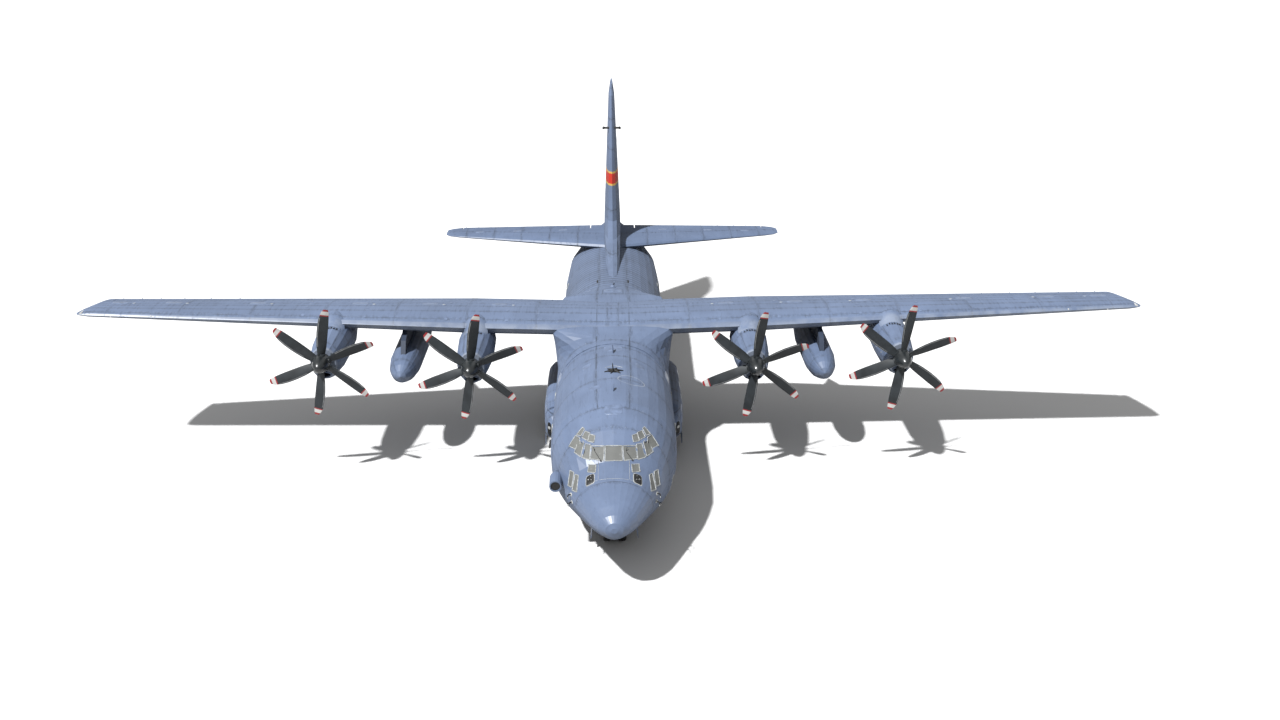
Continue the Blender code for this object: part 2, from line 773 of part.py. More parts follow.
def ramp_outline():
    y, z = RAMP_PIVOT
    toe = [(y + RAMP_TOE * math.sin(a), z - RAMP_TOE * math.cos(a)) for a in (-0.30, -0.15, 0)]
    top = math.asin((RAMP_END_FLOOR - z) / RAMP_REACH)
    turns = [top * i / 5 for i in range(5, -3, -1)]
    end = [(y + RAMP_REACH * math.cos(a), z + RAMP_REACH * math.sin(a)) for a in turns]
    return [(y - 0.03, FLOOR_TOP), (y - 0.03, 0.80), *toe, (y + 0.15, 0.45), *end[::-1]]


def build_rear_fuselage():
    shell = fuselage_shell("aft_fuselage", CENTRE_END, AFT_END, "grey_paint", wall=AFT_WALL)
    cut(shell, FIN_CUTTER, TAILPLANE_CUTTER)
    y, z = RAMP_PIVOT
    side = RAMP_HALF_WIDTH + RUNNING
    round_toe = rod("ramp_toe_opening", (-side, y, z), (side, y, z), RAMP_TOE + 0.02, sides=32)
    ramp_opening = prism(
        "ramp_opening", [(y, 0.2), (RAMP_END, 0.2), (RAMP_END, 2.3), (y, 1.5)],
        "X", -side, side,
    )
    door_side = AFT_DOOR_HALF_WIDTH + RUNNING
    door_opening = prism(
        "aft_door_opening",
        [(RAMP_END - 0.02, 0.8), (AFT_DOOR_END + 0.03, 2.2), (AFT_DOOR_END + 0.03, 3.72),
         (RAMP_END - 0.02, 2.3)],
        "X", -door_side, door_side,
    )
    cut(shell, round_toe, ramp_opening, door_opening)
    outline = [
        (PARA_DOOR_FRONT, PARA_DOOR_BOTTOM), (PARA_DOOR_BACK, PARA_DOOR_BOTTOM),
        (PARA_DOOR_BACK, PARA_DOOR_TOP), (PARA_DOOR_FRONT, PARA_DOOR_TOP),
    ]
    middle = ((PARA_DOOR_FRONT + PARA_DOOR_BACK) / 2, (PARA_DOOR_BOTTOM + PARA_DOOR_TOP) / 2)
    for tag, low, high in (("left", 1.0, 3.0), ("right", -3.0, -1.0)):
        cut(shell, prism(f"paratroop_opening_{tag}", outline, "X", low, high))
        smaller = [
            (a + math.copysign(GAP, middle[0] - a), b + math.copysign(GAP, middle[1] - b))
            for a, b in outline
        ]
        panel = fuselage_shell(
            f"paratroop_door_{tag}", CENTRE_END, 18.5, "light_grey_paint", wall=AFT_WALL
        )
        keep_inside(panel, prism(f"paratroop_block_{tag}", smaller, "X", low, high))

    ys = stations(AFT_END + GAP / 2, LENGTH)
    outer = [fuselage_ring(at) for at in ys]
    inner = [fuselage_ring(at, TAIL_CONE_WALL) for at in ys[:-1]]
    cone = hollow_loft("tail_cone", outer, inner, "grey_paint", open_end=False)
    cut(cone, FIN_CUTTER, TAILPLANE_CUTTER)

    ramp = prism("cargo_ramp", ramp_outline(), "X", -RAMP_HALF_WIDTH, RAMP_HALF_WIDTH,
                 "floor_metal")
    keep_inside(ramp, fuselage_solid("ramp_limit", 16.5, 20.5))
    inner = [
        (RAMP_END - 0.07, RAMP_END_FLOOR - 0.13), (y + 0.20, FLOOR_TOP - 0.06), (y + 0.20, 0.45),
        (RAMP_END - 0.07, 0.45),
    ]
    hollow = prism("ramp_hollow", inner, "X", -RAMP_HALF_WIDTH + 0.08, RAMP_HALF_WIDTH - 0.08)
    keep_inside(hollow, fuselage_solid("ramp_hollow_limit", 16.5, 20.5, AFT_WALL))
    access = box("ramp_access", (-0.3, RAMP_END - 0.3, 1.55), (0.3, RAMP_END + 0.1, 1.62))
    cut(ramp, hollow, access)
    for tag, way in (("left", 1), ("right", -1)):
        pin = rod(
            f"ramp_pin_{tag}", (way * (RAMP_HALF_WIDTH - 0.1), y, z),
            (way * (side - GAP), y, z), 0.03,
        )
        join(ramp, pin)
    set_pivot(ramp, (0.0, y, z))

    door = fuselage_shell("aft_cargo_door", RAMP_END, AFT_END, "grey_paint", wall=0.06)
    half = AFT_DOOR_HALF_WIDTH
    low = (-half, RAMP_END + RUNNING / 2, 0.0)
    keep_inside(door, box("aft_door_block", low, (half, AFT_DOOR_END, 3.55)))
    y, z = AFT_DOOR_PIVOT
    for tag, way in (("left", 1), ("right", -1)):
        pin = rod(
            f"aft_door_pin_{tag}", (way * (half - 0.08), y, z),
            (way * (door_side - GAP), y, z), 0.03,
        )
        join(door, pin)
    set_pivot(door, (0.0, y, z))


def wing_rows(table, start, end):
    """The rows of a wing table between two stations, from one tip to the other."""
    inside = [abs(row[0]) for row in table]
    xs = sorted({x for x in inside + [-x for x in inside] if start < x < end} | {start, end})
    return [[x] + section_at(table, x)[1:] for x in xs]


def wing_blank(name, table, start, end, grow=0.0, paint=None):
    return loft(name, [wing_ring(row, grow) for row in wing_rows(table, start, end)], paint)


def wing_hollow(name, table, start, end, skin):
    return loft(name, [box_ring(row, skin) for row in wing_rows(table, start, end)])


def control_bay(name, table, x_in, x_out, fraction):
    return bay(name, table, x_in, x_out, fraction, RUNNING * 1.4)


def build_wing():
    half = CENTRE_WING_END - GAP / 2
    centre = wing_blank("centre_wing", WING, -half, half, paint="grey_paint")
    cut(centre, wing_hollow("centre_wing_hollow", WING, -half - 0.1, half + 0.1, WING_SKIN))
    for side, tag in ((1, "left"), (-1, "right")):
        flap_in, flap_mid = side * INNER_FLAP_IN, side * (CENTRE_WING_END - FLAP_GAPS)
        cut(centre, control_bay(f"inner_bay_{tag}", WING, flap_in, flap_mid, CONTROL_FRACTION))
        build_flap(f"inner_flap_{tag}", flap_in, flap_mid)

        start, end = sorted((side * (CENTRE_WING_END + GAP / 2), side * HALF_SPAN))
        outer = wing_blank(f"outer_wing_{tag}", WING, start, end, paint="grey_paint")
        start, end = sorted((side * 5.4, side * 19.0))
        cut(outer, wing_hollow(f"outer_hollow_{tag}", WING, start, end, WING_SKIN))
        flap_in, flap_out = side * (CENTRE_WING_END + FLAP_GAPS), side * OUTER_FLAP_OUT
        cut(outer, control_bay(f"outer_bay_{tag}", WING, flap_in, flap_out, CONTROL_FRACTION))
        build_flap(f"outer_flap_{tag}", flap_in, flap_out)

        x_in, x_out = side * AILERON_IN, side * AILERON_OUT
        cut(outer, control_bay(f"aileron_bay_{tag}", WING, x_in, x_out, CONTROL_FRACTION))
        aileron = control_surface(
            f"aileron_{tag}", WING, WING_BLANK, x_in, x_out, CONTROL_FRACTION,
            AILERON_RUNNING, "grey_paint",
        )
        set_pivot(aileron, control_centre(WING, (x_in + x_out) / 2, CONTROL_FRACTION)[0])


def flap_pivot(x_in, x_out):
    centre = control_centre(WING, (x_in + x_out) / 2, CONTROL_FRACTION)[0]
    return centre + Vector((0.0, 0.10, -FLAP_PIVOT_DROP))


def build_flap(name, x_in, x_out):
    """A flap on curved tracks: its axis runs along X below the wing."""
    flap = control_surface(
        name, WING, WING_BLANK, x_in, x_out, CONTROL_FRACTION, END_RUNNING, "grey_paint"
    )
    set_pivot(flap, flap_pivot(x_in, x_out))


def fairing_ring(y, share):
    """The fuselage's upper section at y, swelled towards the full shape of the fairing."""
    _, half, top, _, middle, _ = between(FUSELAGE, y)
    side = []
    for degrees, x, z in FAIRING_SHAPE:
        angle = math.radians(degrees)
        skin = half * math.cos(angle), middle + (top - middle) * math.sin(angle)
        side.append((skin[0] + share * (x - skin[0]), y, skin[1] + share * (z - skin[1])))
    return side + [(-x, y, z) for x, y, z in reversed(side[:-1])]


def build_wing_fairing():
    fairing = loft("wing_fairing", [fairing_ring(*row) for row in FAIRING], "grey_paint")
    cut(fairing, fuselage_solid("fairing_trim", 9.0, 18.4, -GAP), WING_CUTTER)


def build_tailplane():
    span = TAILPLANE[-1][0]
    plane = wing_blank("tailplane", TAILPLANE, -span, span, paint="grey_paint")
    cut(plane, wing_hollow("tailplane_hollow", TAILPLANE, -7.2, 7.2, TAIL_SKIN))
    cut(plane, box("tailplane_access", (-0.3, 24.0, 4.2), (0.3, 25.0, 4.86)))
    for side, tag in ((1, "left"), (-1, "right")):
        x_in, x_out = side * ELEVATOR_IN, side * ELEVATOR_OUT
        cut(plane, control_bay(f"elevator_bay_{tag}", TAILPLANE, x_in, x_out, ELEVATOR_FRACTION))
        elevator = control_surface(
            f"elevator_{tag}", TAILPLANE, TAILPLANE_BLANK, x_in, x_out, ELEVATOR_FRACTION,
            ELEVATOR_RUNNING, "grey_paint",
        )
        middle = control_centre(TAILPLANE, (x_in + x_out) / 2, ELEVATOR_FRACTION)[0]
        set_pivot(elevator, middle)


def fin_ring(z, grow=0.0):
    _, front, chord, thick = straight(FIN, z)
    steps = [0.5 * (1 - math.cos(math.pi * i / 8)) for i in range(9)]
    ratio = thick / chord
    side = [(s * chord, half_thickness(ratio, s) * chord) for s in steps]
    loop = side[::-1] + [(a, -b) for a, b in side[1:]]
    return [(b, front + a, z) for a, b in offset_loop(loop, grow)]


def fin_blank(name, low, high, grow=0.0, paint=None):
    zs = [low] + [row[0] for row in FIN if low < row[0] < high] + [high]
    return loft(name, [fin_ring(z, grow) for z in zs], paint)


def fin_hollow_ring(z):
    _, front, chord, thick = straight(FIN, max(z, FIN[0][0]))
    low, high = front + 0.07 * chord, min(front + 0.80 * chord, RUDDER_FRACTION_Y - 0.36)
    side = []
    for i in range(5):
        along = low + (high - low) * i / 4
        half = half_thickness(thick / chord, (along - front) / chord) * chord - TAIL_SKIN
        side.append((half, along, z))
    return side + [(-x, y, z) for x, y, z in reversed(side)]


def rudder_nose(z):
    _, front, chord, thick = straight(FIN, z)
    return half_thickness(thick / chord, (RUDDER_FRACTION_Y - front) / chord) * chord * 1.03


def rudder_ring(z, clear):
    radius = rudder_nose(z) + clear
    nose = nose_arc(radius, clear)
    back = nose[0][0]
    local = [(2.6, 1.0), (back, 1.0), *nose, (back, -1.0), (2.6, -1.0)]
    return [(b, RUDDER_FRACTION_Y + a, z) for a, b in local]


def build_fin():
    fin = fin_blank("fin", FIN[0][0], HEIGHT, paint="grey_paint")
    cut(fin, loft("fin_hollow", [fin_hollow_ring(z) for z in (4.5, 5.05, 5.55, 6.1, 11.2)]))
    low, high = RUDDER_BOTTOM, RUDDER_TOP
    zs = [low] + [row[0] for row in FIN if low < row[0] < high] + [high]
    cut(fin, loft("rudder_bay", [rudder_ring(z, RUNNING * 1.4) for z in zs]))
    cut(fin, TAILPLANE_CUTTER)
    zs = [low + END_RUNNING] + zs[1:-1] + [high - END_RUNNING]
    rudder = loft("rudder", [rudder_ring(z, 0.0) for z in zs], "grey_paint")
    keep_inside(rudder, FIN_BLANK)
    wedge = []
    for z in (low, high - END_RUNNING - 0.05):
        _, front, chord, thick = straight(FIN, z)
        near = RUDDER_FRACTION_Y + 0.06
        half = half_thickness(thick / chord, (near - front) / chord) * chord - CONTROL_SKIN
        far = near + 0.66 * (front + chord - near)
        wedge.append([(half, near, z), (0.0, far, z), (-half, near, z)])
    cut(rudder, loft("rudder_hollow", wedge))
    for tag, edge, way in (("bottom", low, 1), ("top", high, -1)):
        start = (0.0, RUDDER_FRACTION_Y, edge + way * GAP)
        end = (0.0, RUDDER_FRACTION_Y, edge + way * 0.08)
        join(rudder, rod(f"rudder_pin_{tag}", start, end, 0.03))
    set_pivot(rudder, (0.0, RUDDER_FRACTION_Y, (low + high) / 2))


def nacelle_ring(row, x, height, inset=0.0):
    y, half, top, bottom = row
    middle, reach = (top + bottom) / 2, (top - bottom) / 2
    turns = [2 * math.pi * i / NACELLE_SIDES for i in range(NACELLE_SIDES)]
    return [
        (x + math.cos(a) * (half - inset), y, height + middle + math.sin(a) * (reach - inset))
        for a in turns
    ]


def build_nacelle(name, x, height):
    nacelle = loft(
        f"nacelle_{name}", [nacelle_ring(row, x, height) for row in NACELLE], "grey_paint"
    )
    start = NACELLE_FRONT + BULKHEAD
    ys = [start, 10.40, 11.40, 13.40]
    hollow = loft(
        f"nacelle_hollow_{name}",
        [nacelle_ring(straight(NACELLE, y), x, height, NACELLE_WALL) for y in ys],
    )
    mouth = [
        (x + 0.24 * math.cos(a), height - 0.575 + 0.085 * math.sin(a))
        for a in [2 * math.pi * i / 12 for i in range(12)]
    ]
    intake = prism(f"intake_{name}", mouth, "Y", NACELLE_FRONT - 0.2, start + 0.1)
    exhaust = rod(f"exhaust_{name}", (x, 13.1, height - 0.2), (x, 14.3, height - 0.2), 0.19)
    cut(nacelle, hollow, intake, exhaust, WING_CUTTER)
    rod(
        f"engine_{name}", (x, start + GAP, height - ENGINE_DROP),
        (x, start + ENGINE_LENGTH, height - ENGINE_DROP), ENGINE_RADIUS, "engine_metal",
    )


def blade_ring(row, hub, clock):
    """A blade's section; its leading edge is ahead and turns towards starboard at the top."""
    radius, chord, pitch, sweep, thick = row
    out = Vector((math.sin(clock), 0.0, math.cos(clock)))
    turning = Vector((-math.cos(clock), 0.0, math.sin(clock)))
    angle = math.radians(pitch)
    lead = turning * math.cos(angle) + Vector((0.0, -1.0, 0.0)) * math.sin(angle)
    face = out.cross(lead)
    centre = hub + out * radius + turning * sweep
    section = [
        (0.5, 0.0), (0.22, 0.5), (-0.18, 0.42), (-0.5, 0.0), (-0.18, -0.3), (0.22, -0.42)
    ]
    return [tuple(centre + lead * a * chord + face * b * thick) for a, b in section]


def build_propeller(name, x, height):
    hub = Vector((x, PROP_PLANE, height))
    propeller = turned(f"propeller_{name}", SPINNER, hub, "forward", 18, "blade_composite")
    for i in range(BLADES):
        clock = BLADE_CLOCK + 2 * math.pi * i / BLADES
        join(propeller, loft(f"blade_{name}_{i}", [blade_ring(row, hub, clock) for row in BLADE]))


def tank_profile(grow=0.0):
    return [(radius + (grow if radius else 0.0), -distance) for distance, radius in TANK]


def build_tank(tag, side):
    nose = (side * TANK_X, TANK_NOSE, TANK_HEIGHT)
    turned(f"fuel_tank_{tag}", tank_profile(), nose, "forward", 20, "grey_paint")
    around = turned(f"tank_room_{tag}", tank_profile(2 * GAP), nose, "forward", 20)
    outline = [(10.75, 3.95), (14.12, 3.95), (14.05, 4.95), (11.9, 4.95), (11.15, 4.60)]
    pylon = prism(f"tank_pylon_{tag}", outline, "X", side * TANK_X - 0.09,
                  side * TANK_X + 0.09, "grey_paint")
    cut(pylon, around, WING_CUTTER)


def sponson_ring(row, side):
    y, out, top, bottom = row
    middle, reach = (top + bottom) / 2, (top - bottom) / 2
    half = out - SPONSON_INNER
    ring = []
    for i in range(13):
        angle = math.radians(-90 + 15 * i)
        c, s = max(0.0, math.cos(angle)), math.sin(angle)
        ring.append((
            side * (SPONSON_INNER + half * c ** 0.5),
            y,
            middle + reach * math.copysign(abs(s) ** 0.5, s),
        ))
    return ring


def build_sponson(tag, side, trim):
    sponson = loft(f"sponson_{tag}", [sponson_ring(row, side) for row in SPONSON], "grey_paint")
    near, far = MAIN_WHEELS_Y
    low, high = sorted((side * 1.90, side * 2.62))
    well = box(f"wheel_well_{tag}", (low, near - 0.78, 0.0), (high, far + 0.78, WELL_TOP))
    cut(sponson, trim, well)
    beam = (side * STRUT_X, near, 1.05), (side * STRUT_X, far, 1.05)
    leg = rod(f"main_gear_leg_{tag}", *beam, 0.04, "gear_steel")
    hub_face = MAIN_WHEEL_X + TYRE[0][0] * MAIN_TYRE_WIDTH / 2 + GAP
    for i, y in enumerate(MAIN_WHEELS_Y):
        strut = rod(f"strut_{tag}_{i}", (side * STRUT_X, y, MAIN_TYRE_RADIUS - 0.07),
                    (side * STRUT_X, y, WELL_TOP - GAP), STRUT_RADIUS)
        axle = rod(f"axle_{tag}_{i}", (side * STRUT_X, y, MAIN_TYRE_RADIUS),
                   (side * hub_face, y, MAIN_TYRE_RADIUS), 0.055)
        join(leg, strut, axle)
        name = f"main_wheel_{tag}_{('front', 'rear')[i]}"
        wheel(name, (side * MAIN_WHEEL_X, y, MAIN_TYRE_RADIUS), MAIN_TYRE_RADIUS,
              MAIN_TYRE_WIDTH, 20, "tyre_rubber")


def wheel(name, centre, radius, width, steps, paint=None):
    half = width / 2
    upper = [(0.0, TYRE[0][0] * half)] + [(r * radius, w * half) for w, r in TYRE]
    lower = [(r, -h) for r, h in reversed(upper)]
    return turned(name, upper + lower, centre, "sideways", steps, paint)


def build_nose_gear():
    y = NOSE_WHEEL_Y
    reach = NOSE_WELL_HALF - GAP
    leg = rod("nose_gear_leg", (0, y, 1.05), (0, y, 1.88), 0.09, "gear_steel", 16)
    join(leg, rod("nose_trunnion", (-reach, y, 1.80), (reach, y, 1.80), 0.06))
    steering = rod("nose_gear_steering", (0, y, 0.52), (0, y, 1.05 - GAP), 0.06, "gear_steel", 16)
    block = box("axle_block", (-0.10, y - 0.09, 0.40), (0.10, y + 0.09, 0.58))
    bore = rod("axle_bore", (-0.2, y, NOSE_TYRE_RADIUS), (0.2, y, NOSE_TYRE_RADIUS),
               0.05 + 2 * GAP, sides=16)
    join(steering, block)
    cut(steering, bore)
    centre = (NOSE_WHEEL_X, y, NOSE_TYRE_RADIUS)
    other = (-NOSE_WHEEL_X, y, NOSE_TYRE_RADIUS)
    wheels = wheel("nose_wheels", centre, NOSE_TYRE_RADIUS, NOSE_TYRE_WIDTH, 16, "tyre_rubber")
    join(
        wheels,
        wheel("nose_wheel_right", other, NOSE_TYRE_RADIUS, NOSE_TYRE_WIDTH, 16),
        rod("nose_axle", centre, other, 0.05, sides=16),
    )


def build_air_scoop():
    profile = [(0.0, -0.15), (0.15, -0.15), (0.16, 0.0), (0.20, 0.0), (0.21, -0.65),
               (0.12, -1.0), (0.0, -1.0)]
    scoop = turned("air_scoop", profile, (-1.90, 2.50, 2.66), "forward", 16, "grey_paint")
    cut(scoop, fuselage_solid("scoop_trim", 1.8, 4.5, -GAP))


WING_BLANK = wing_blank("wing_blank", WING, -HALF_SPAN, HALF_SPAN)
WING_CUTTER = wing_blank("wing_cutter", WING, -HALF_SPAN, HALF_SPAN, 2 * GAP)
TAILPLANE_BLANK = wing_blank("tailplane_blank", TAILPLANE, -TAILPLANE[-1][0], TAILPLANE[-1][0])
TAILPLANE_CUTTER = wing_blank(
    "tailplane_cutter", TAILPLANE, -TAILPLANE[-1][0], TAILPLANE[-1][0], 2 * GAP
)
FIN_BLANK = fin_blank("fin_blank", FIN[0][0], HEIGHT)
FIN_CUTTER = fin_blank("fin_cutter", FIN[0][0] - 2 * GAP, 6.5, 2 * GAP)

build_front_fuselage()
build_middle_fuselage()
build_rear_fuselage()
build_wing()
build_wing_fairing()
build_tailplane()
build_fin()
for engine_name, engine_x, thrust_line in ENGINES:
    build_nacelle(engine_name, engine_x, thrust_line)
    build_propeller(engine_name, engine_x, thrust_line)
SPONSON_TRIM = fuselage_solid("sponson_trim", 9.0, 18.2, -GAP)
for side_name, side_sign in (("left", 1), ("right", -1)):
    build_tank(side_name, side_sign)
    build_sponson(side_name, side_sign, SPONSON_TRIM)
build_nose_gear()
build_air_scoop()
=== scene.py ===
"""Looks of the half-size military transport plane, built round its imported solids.

Places are given at full size in metres, as on the plane itself: x to the port side,
y aft from the nose tip, z up from the ground. put() turns them into the frame's metres.
"""

import json
import math

import bpy
from mathutils import Matrix, Vector
from mathutils.bvhtree import BVHTree


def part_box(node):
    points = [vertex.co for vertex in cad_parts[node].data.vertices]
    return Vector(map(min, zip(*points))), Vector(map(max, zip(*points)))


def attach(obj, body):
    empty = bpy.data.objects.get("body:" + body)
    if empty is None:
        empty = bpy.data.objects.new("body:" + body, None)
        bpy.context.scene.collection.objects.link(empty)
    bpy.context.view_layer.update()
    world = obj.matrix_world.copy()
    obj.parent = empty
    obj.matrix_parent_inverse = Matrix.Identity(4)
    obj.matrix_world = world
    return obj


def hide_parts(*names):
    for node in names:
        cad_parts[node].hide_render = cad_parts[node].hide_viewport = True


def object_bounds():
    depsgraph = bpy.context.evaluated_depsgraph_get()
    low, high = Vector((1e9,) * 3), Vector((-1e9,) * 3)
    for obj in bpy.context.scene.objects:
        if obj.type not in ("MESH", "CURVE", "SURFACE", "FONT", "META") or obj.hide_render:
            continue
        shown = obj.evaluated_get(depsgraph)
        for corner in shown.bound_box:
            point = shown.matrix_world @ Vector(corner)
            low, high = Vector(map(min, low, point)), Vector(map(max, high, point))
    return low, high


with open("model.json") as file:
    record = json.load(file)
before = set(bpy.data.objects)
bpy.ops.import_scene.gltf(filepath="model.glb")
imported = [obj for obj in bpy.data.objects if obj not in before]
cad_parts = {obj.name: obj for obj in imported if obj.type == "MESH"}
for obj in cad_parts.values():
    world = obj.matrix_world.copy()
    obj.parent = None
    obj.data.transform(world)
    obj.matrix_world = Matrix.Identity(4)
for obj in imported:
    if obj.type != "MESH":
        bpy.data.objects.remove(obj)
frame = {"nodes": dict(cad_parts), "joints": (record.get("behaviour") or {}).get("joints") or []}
CAD_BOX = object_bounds()

SCALE = 0.5
LENGTH = (CAD_BOX[1][1] - CAD_BOX[0][1]) / SCALE
# The key light is strong, so every finish is this much darker than the colour it shows.
DIM = 0.36
NODES = frame["nodes"]
JOINTS = {joint["child"]: joint for joint in frame["joints"]}


def put(point):
    x, y, z = point
    return Vector((x * SCALE, (y - LENGTH / 2) * SCALE, z * SCALE))


UP = (0, 0, 1)
DOWN = (0, 0, -1)


def inward(side):
    """The way from a side of the plane, 1 for port, to its middle."""
    return (-side, 0, 0)


def circle(steps, start=0.0):
    """Evenly spaced angles round a circle."""
    return [2 * math.pi * (k + start) / steps for k in range(steps)]


def full(point):
    x, y, z = point
    return Vector((x / SCALE, y / SCALE + LENGTH / 2, z / SCALE))


# Finishes
class Signal:
    """A number or colour that varies over a surface; sums on it add Math nodes."""

    def __init__(self, finish, socket):
        self.finish = finish
        self.socket = socket

    def __add__(self, other):
        return self.finish.maths("ADD", self, other)

    def __sub__(self, other):
        return self.finish.maths("SUBTRACT", self, other)

    def __rsub__(self, other):
        return self.finish.maths("SUBTRACT", other, self)

    def __mul__(self, other):
        return self.finish.maths("MULTIPLY", self, other)

    def __truediv__(self, other):
        return self.finish.maths("DIVIDE", self, other)

    def __abs__(self):
        return self.finish.maths("ABSOLUTE", self)

    __radd__ = __add__
    __rmul__ = __mul__

    def least(self, other):
        return self.finish.maths("MINIMUM", self, other)

    def most(self, other):
        return self.finish.maths("MAXIMUM", self, other)

    def rise(self, low, high):
        """0 below low, 1 above high, and a smooth step between them."""
        return self.finish.node(
            "ShaderNodeMapRange", {"interpolation_type": "SMOOTHSTEP"},
            {"Value": self, "From Min": low, "From Max": high},
        )

    def fall(self, low, high):
        return self.finish.node(
            "ShaderNodeMapRange", {"interpolation_type": "SMOOTHSTEP"},
            {"Value": self, "From Min": low, "From Max": high, "To Min": 1.0, "To Max": 0.0},
        )

    def between(self, low, high, edge=0.01):
        return self.rise(low - edge, low + edge) * self.fall(high - edge, high + edge)

    def off_line(self, pitch, start=0.0):
        """The distance to the nearest of a row of lines."""
        return self.finish.maths("PINGPONG", self - start, pitch / 2)


class Finish:
    """One material, with places on the plane as signals."""

    def __init__(self, name, metallic=0.0, coat=0.0, specular=0.5):
        self.material = bpy.data.materials.new(name)
        self.material.use_nodes = True
        self.nodes = self.material.node_tree.nodes
        self.links = self.material.node_tree.links
        self.shader = self.nodes["Principled BSDF"]
        self.shader.inputs["Metallic"].default_value = metallic
        self.shader.inputs["Coat Weight"].default_value = coat
        self.shader.inputs["Coat Roughness"].default_value = 0.12
        self.shader.inputs["Specular IOR Level"].default_value = specular
        self.surface = self.node("ShaderNodeTexCoord", output="Object")

    def feed(self, socket, value):
        if isinstance(value, Signal):
            self.links.new(value.socket, socket)
        elif isinstance(value, tuple) and len(value) == 3 and socket.type == "RGBA":
            socket.default_value = (*shade(value, DIM), 1.0)
        else:
            socket.default_value = value

    def node(self, kind, settings=None, inputs=None, output=0):
        made = self.nodes.new(kind)
        for key, value in (settings or {}).items():
            setattr(made, key, value)
        for key, value in (inputs or {}).items():
            self.feed(made.inputs[key], value)
        return Signal(self, made.outputs[output])

    def maths(self, operation, *values):
        return self.node("ShaderNodeMath", {"operation": operation}, dict(enumerate(values)))

    def place(self):
        """x, y and z of the surface at full size."""
        split = self.node("ShaderNodeSeparateXYZ", inputs={0: self.surface}, output=0)
        outputs = split.socket.node.outputs
        x, y, z = (Signal(self, socket) for socket in outputs)
        return x / SCALE, y / SCALE + LENGTH / 2, z / SCALE

    def upward(self):
        """1 where the surface looks straight up, -1 where it looks down."""
        normal = self.node("ShaderNodeNewGeometry", output="Normal")
        return self.node("ShaderNodeSeparateXYZ", inputs={0: normal}, output=2)

    def noise(self, size, stretch=(1.0, 1.0, 1.0), detail=4.0, roughness=0.55):
        """Cloudy noise whose spots measure about size metres at full size."""
        scale = tuple(1.0 / (SCALE * size * along) for along in stretch)
        spot = self.node(
            "ShaderNodeVectorMath", {"operation": "MULTIPLY"}, {0: self.surface, 1: scale}
        )
        return self.node(
            "ShaderNodeTexNoise", {},
            {"Vector": spot, "Scale": 1.0, "Detail": detail, "Roughness": roughness}, "Fac",
        )

    def mix(self, share, first, second):
        return self.node(
            "ShaderNodeMix", {"data_type": "RGBA"}, {0: share, 6: first, 7: second}, 2
        )

    def wear(self, colour, roughness, height=None, depth=0.002, strength=0.4):
        """Joins the colour, roughness and relief to the shader; returns the material."""
        self.feed(self.shader.inputs["Base Color"], colour)
        self.feed(self.shader.inputs["Roughness"], roughness)
        if height is not None:
            relief = self.node(
                "ShaderNodeBump", {},
                {"Strength": strength, "Distance": depth, "Height": height}, "Normal",
            )
            self.feed(self.shader.inputs["Normal"], relief)
        return self.material


def shade(colour, factor):
    return tuple(part * factor for part in colour)


PAINT = (0.205, 0.275, 0.435)
# Dark joints, streaks and dirt, and also the painted shade under surfaces that face down
DARK_MARKS_AND_SHADE = (0.055, 0.07, 0.10)
PAINT_PALE = (0.55, 0.60, 0.68)
SOOT = (0.05, 0.05, 0.055)


def painted_skin(name, seam_distance, airflow, colour=PAINT, extra=None, frames=None, specular=0.36):
    """Semi-gloss paint with dark panel joints, streaks along the airflow, chips and dust, and painted
    shade on surfaces that face down.
    """
    skin = Finish(name, specular=specular)
    x, y, z = skin.place()
    up = skin.upward()
    clouds = skin.noise(2.4, detail=3.0)
    patches = skin.noise(0.55, detail=5.0)
    streaks = skin.noise(0.10, airflow, detail=5.0, roughness=0.62)
    specks = skin.noise(0.028, detail=2.0)
    distance = seam_distance(skin, x, y, z)
    joint = distance.fall(0.006, 0.020)
    beside = distance.fall(0.02, 0.16)
    rivets = distance.between(0.045, 0.058, 0.004) * (x + y * 1.3 + z).off_line(0.10).fall(0.012, 0.02)

    tone = skin.mix(clouds.rise(0.32, 0.70), shade(colour, 0.86), shade(colour, 1.04))
    tone = skin.mix(y.rise(10.5, 18.0) * 0.16, tone, shade(DARK_MARKS_AND_SHADE, 1.8))
    tone = skin.mix(up.rise(0.1, 0.95) * patches.rise(0.35, 0.8) * 0.25, tone, shade(colour, 1.30))
    # Surfaces that face down are darkened here: painted shade
    tone = skin.mix(up.fall(-0.85, 0.25) * 0.55, tone, DARK_MARKS_AND_SHADE)
    tone = skin.mix(streaks.rise(0.52, 0.78) * 0.26, tone, DARK_MARKS_AND_SHADE)
    tone = skin.mix(streaks.fall(0.24, 0.42) * patches.rise(0.45, 0.75) * 0.25, tone, PAINT_PALE)
    tone = skin.mix(beside * streaks.rise(0.40, 0.66) * 0.36, tone, DARK_MARKS_AND_SHADE)
    if frames:
        ribs = frames(skin, x, y, z)
        tone = skin.mix(ribs * (0.28 + patches * 0.5), tone, DARK_MARKS_AND_SHADE)
    tone = skin.mix(joint * patches.rise(0.30, 0.62) * 0.72, tone, DARK_MARKS_AND_SHADE)
    tone = skin.mix(rivets * 0.35, tone, DARK_MARKS_AND_SHADE)
    tone = skin.mix(beside * specks.rise(0.66, 0.72) * 0.85, tone, PAINT_PALE)
    if extra:
        tone = extra(skin, x, y, z, up, tone, patches)
    edge_on = skin.node("ShaderNodeLayerWeight", {}, {"Blend": 0.5}, "Facing")
    roughness = 0.34 + patches * 0.12 + streaks.rise(0.5, 0.8) * 0.14 + edge_on.rise(0.45, 0.9) * 0.45
    height = (1.0 - joint) + rivets * 0.35 + patches * 0.12
    return skin.wear(tone, roughness, height, 0.003, 0.35)


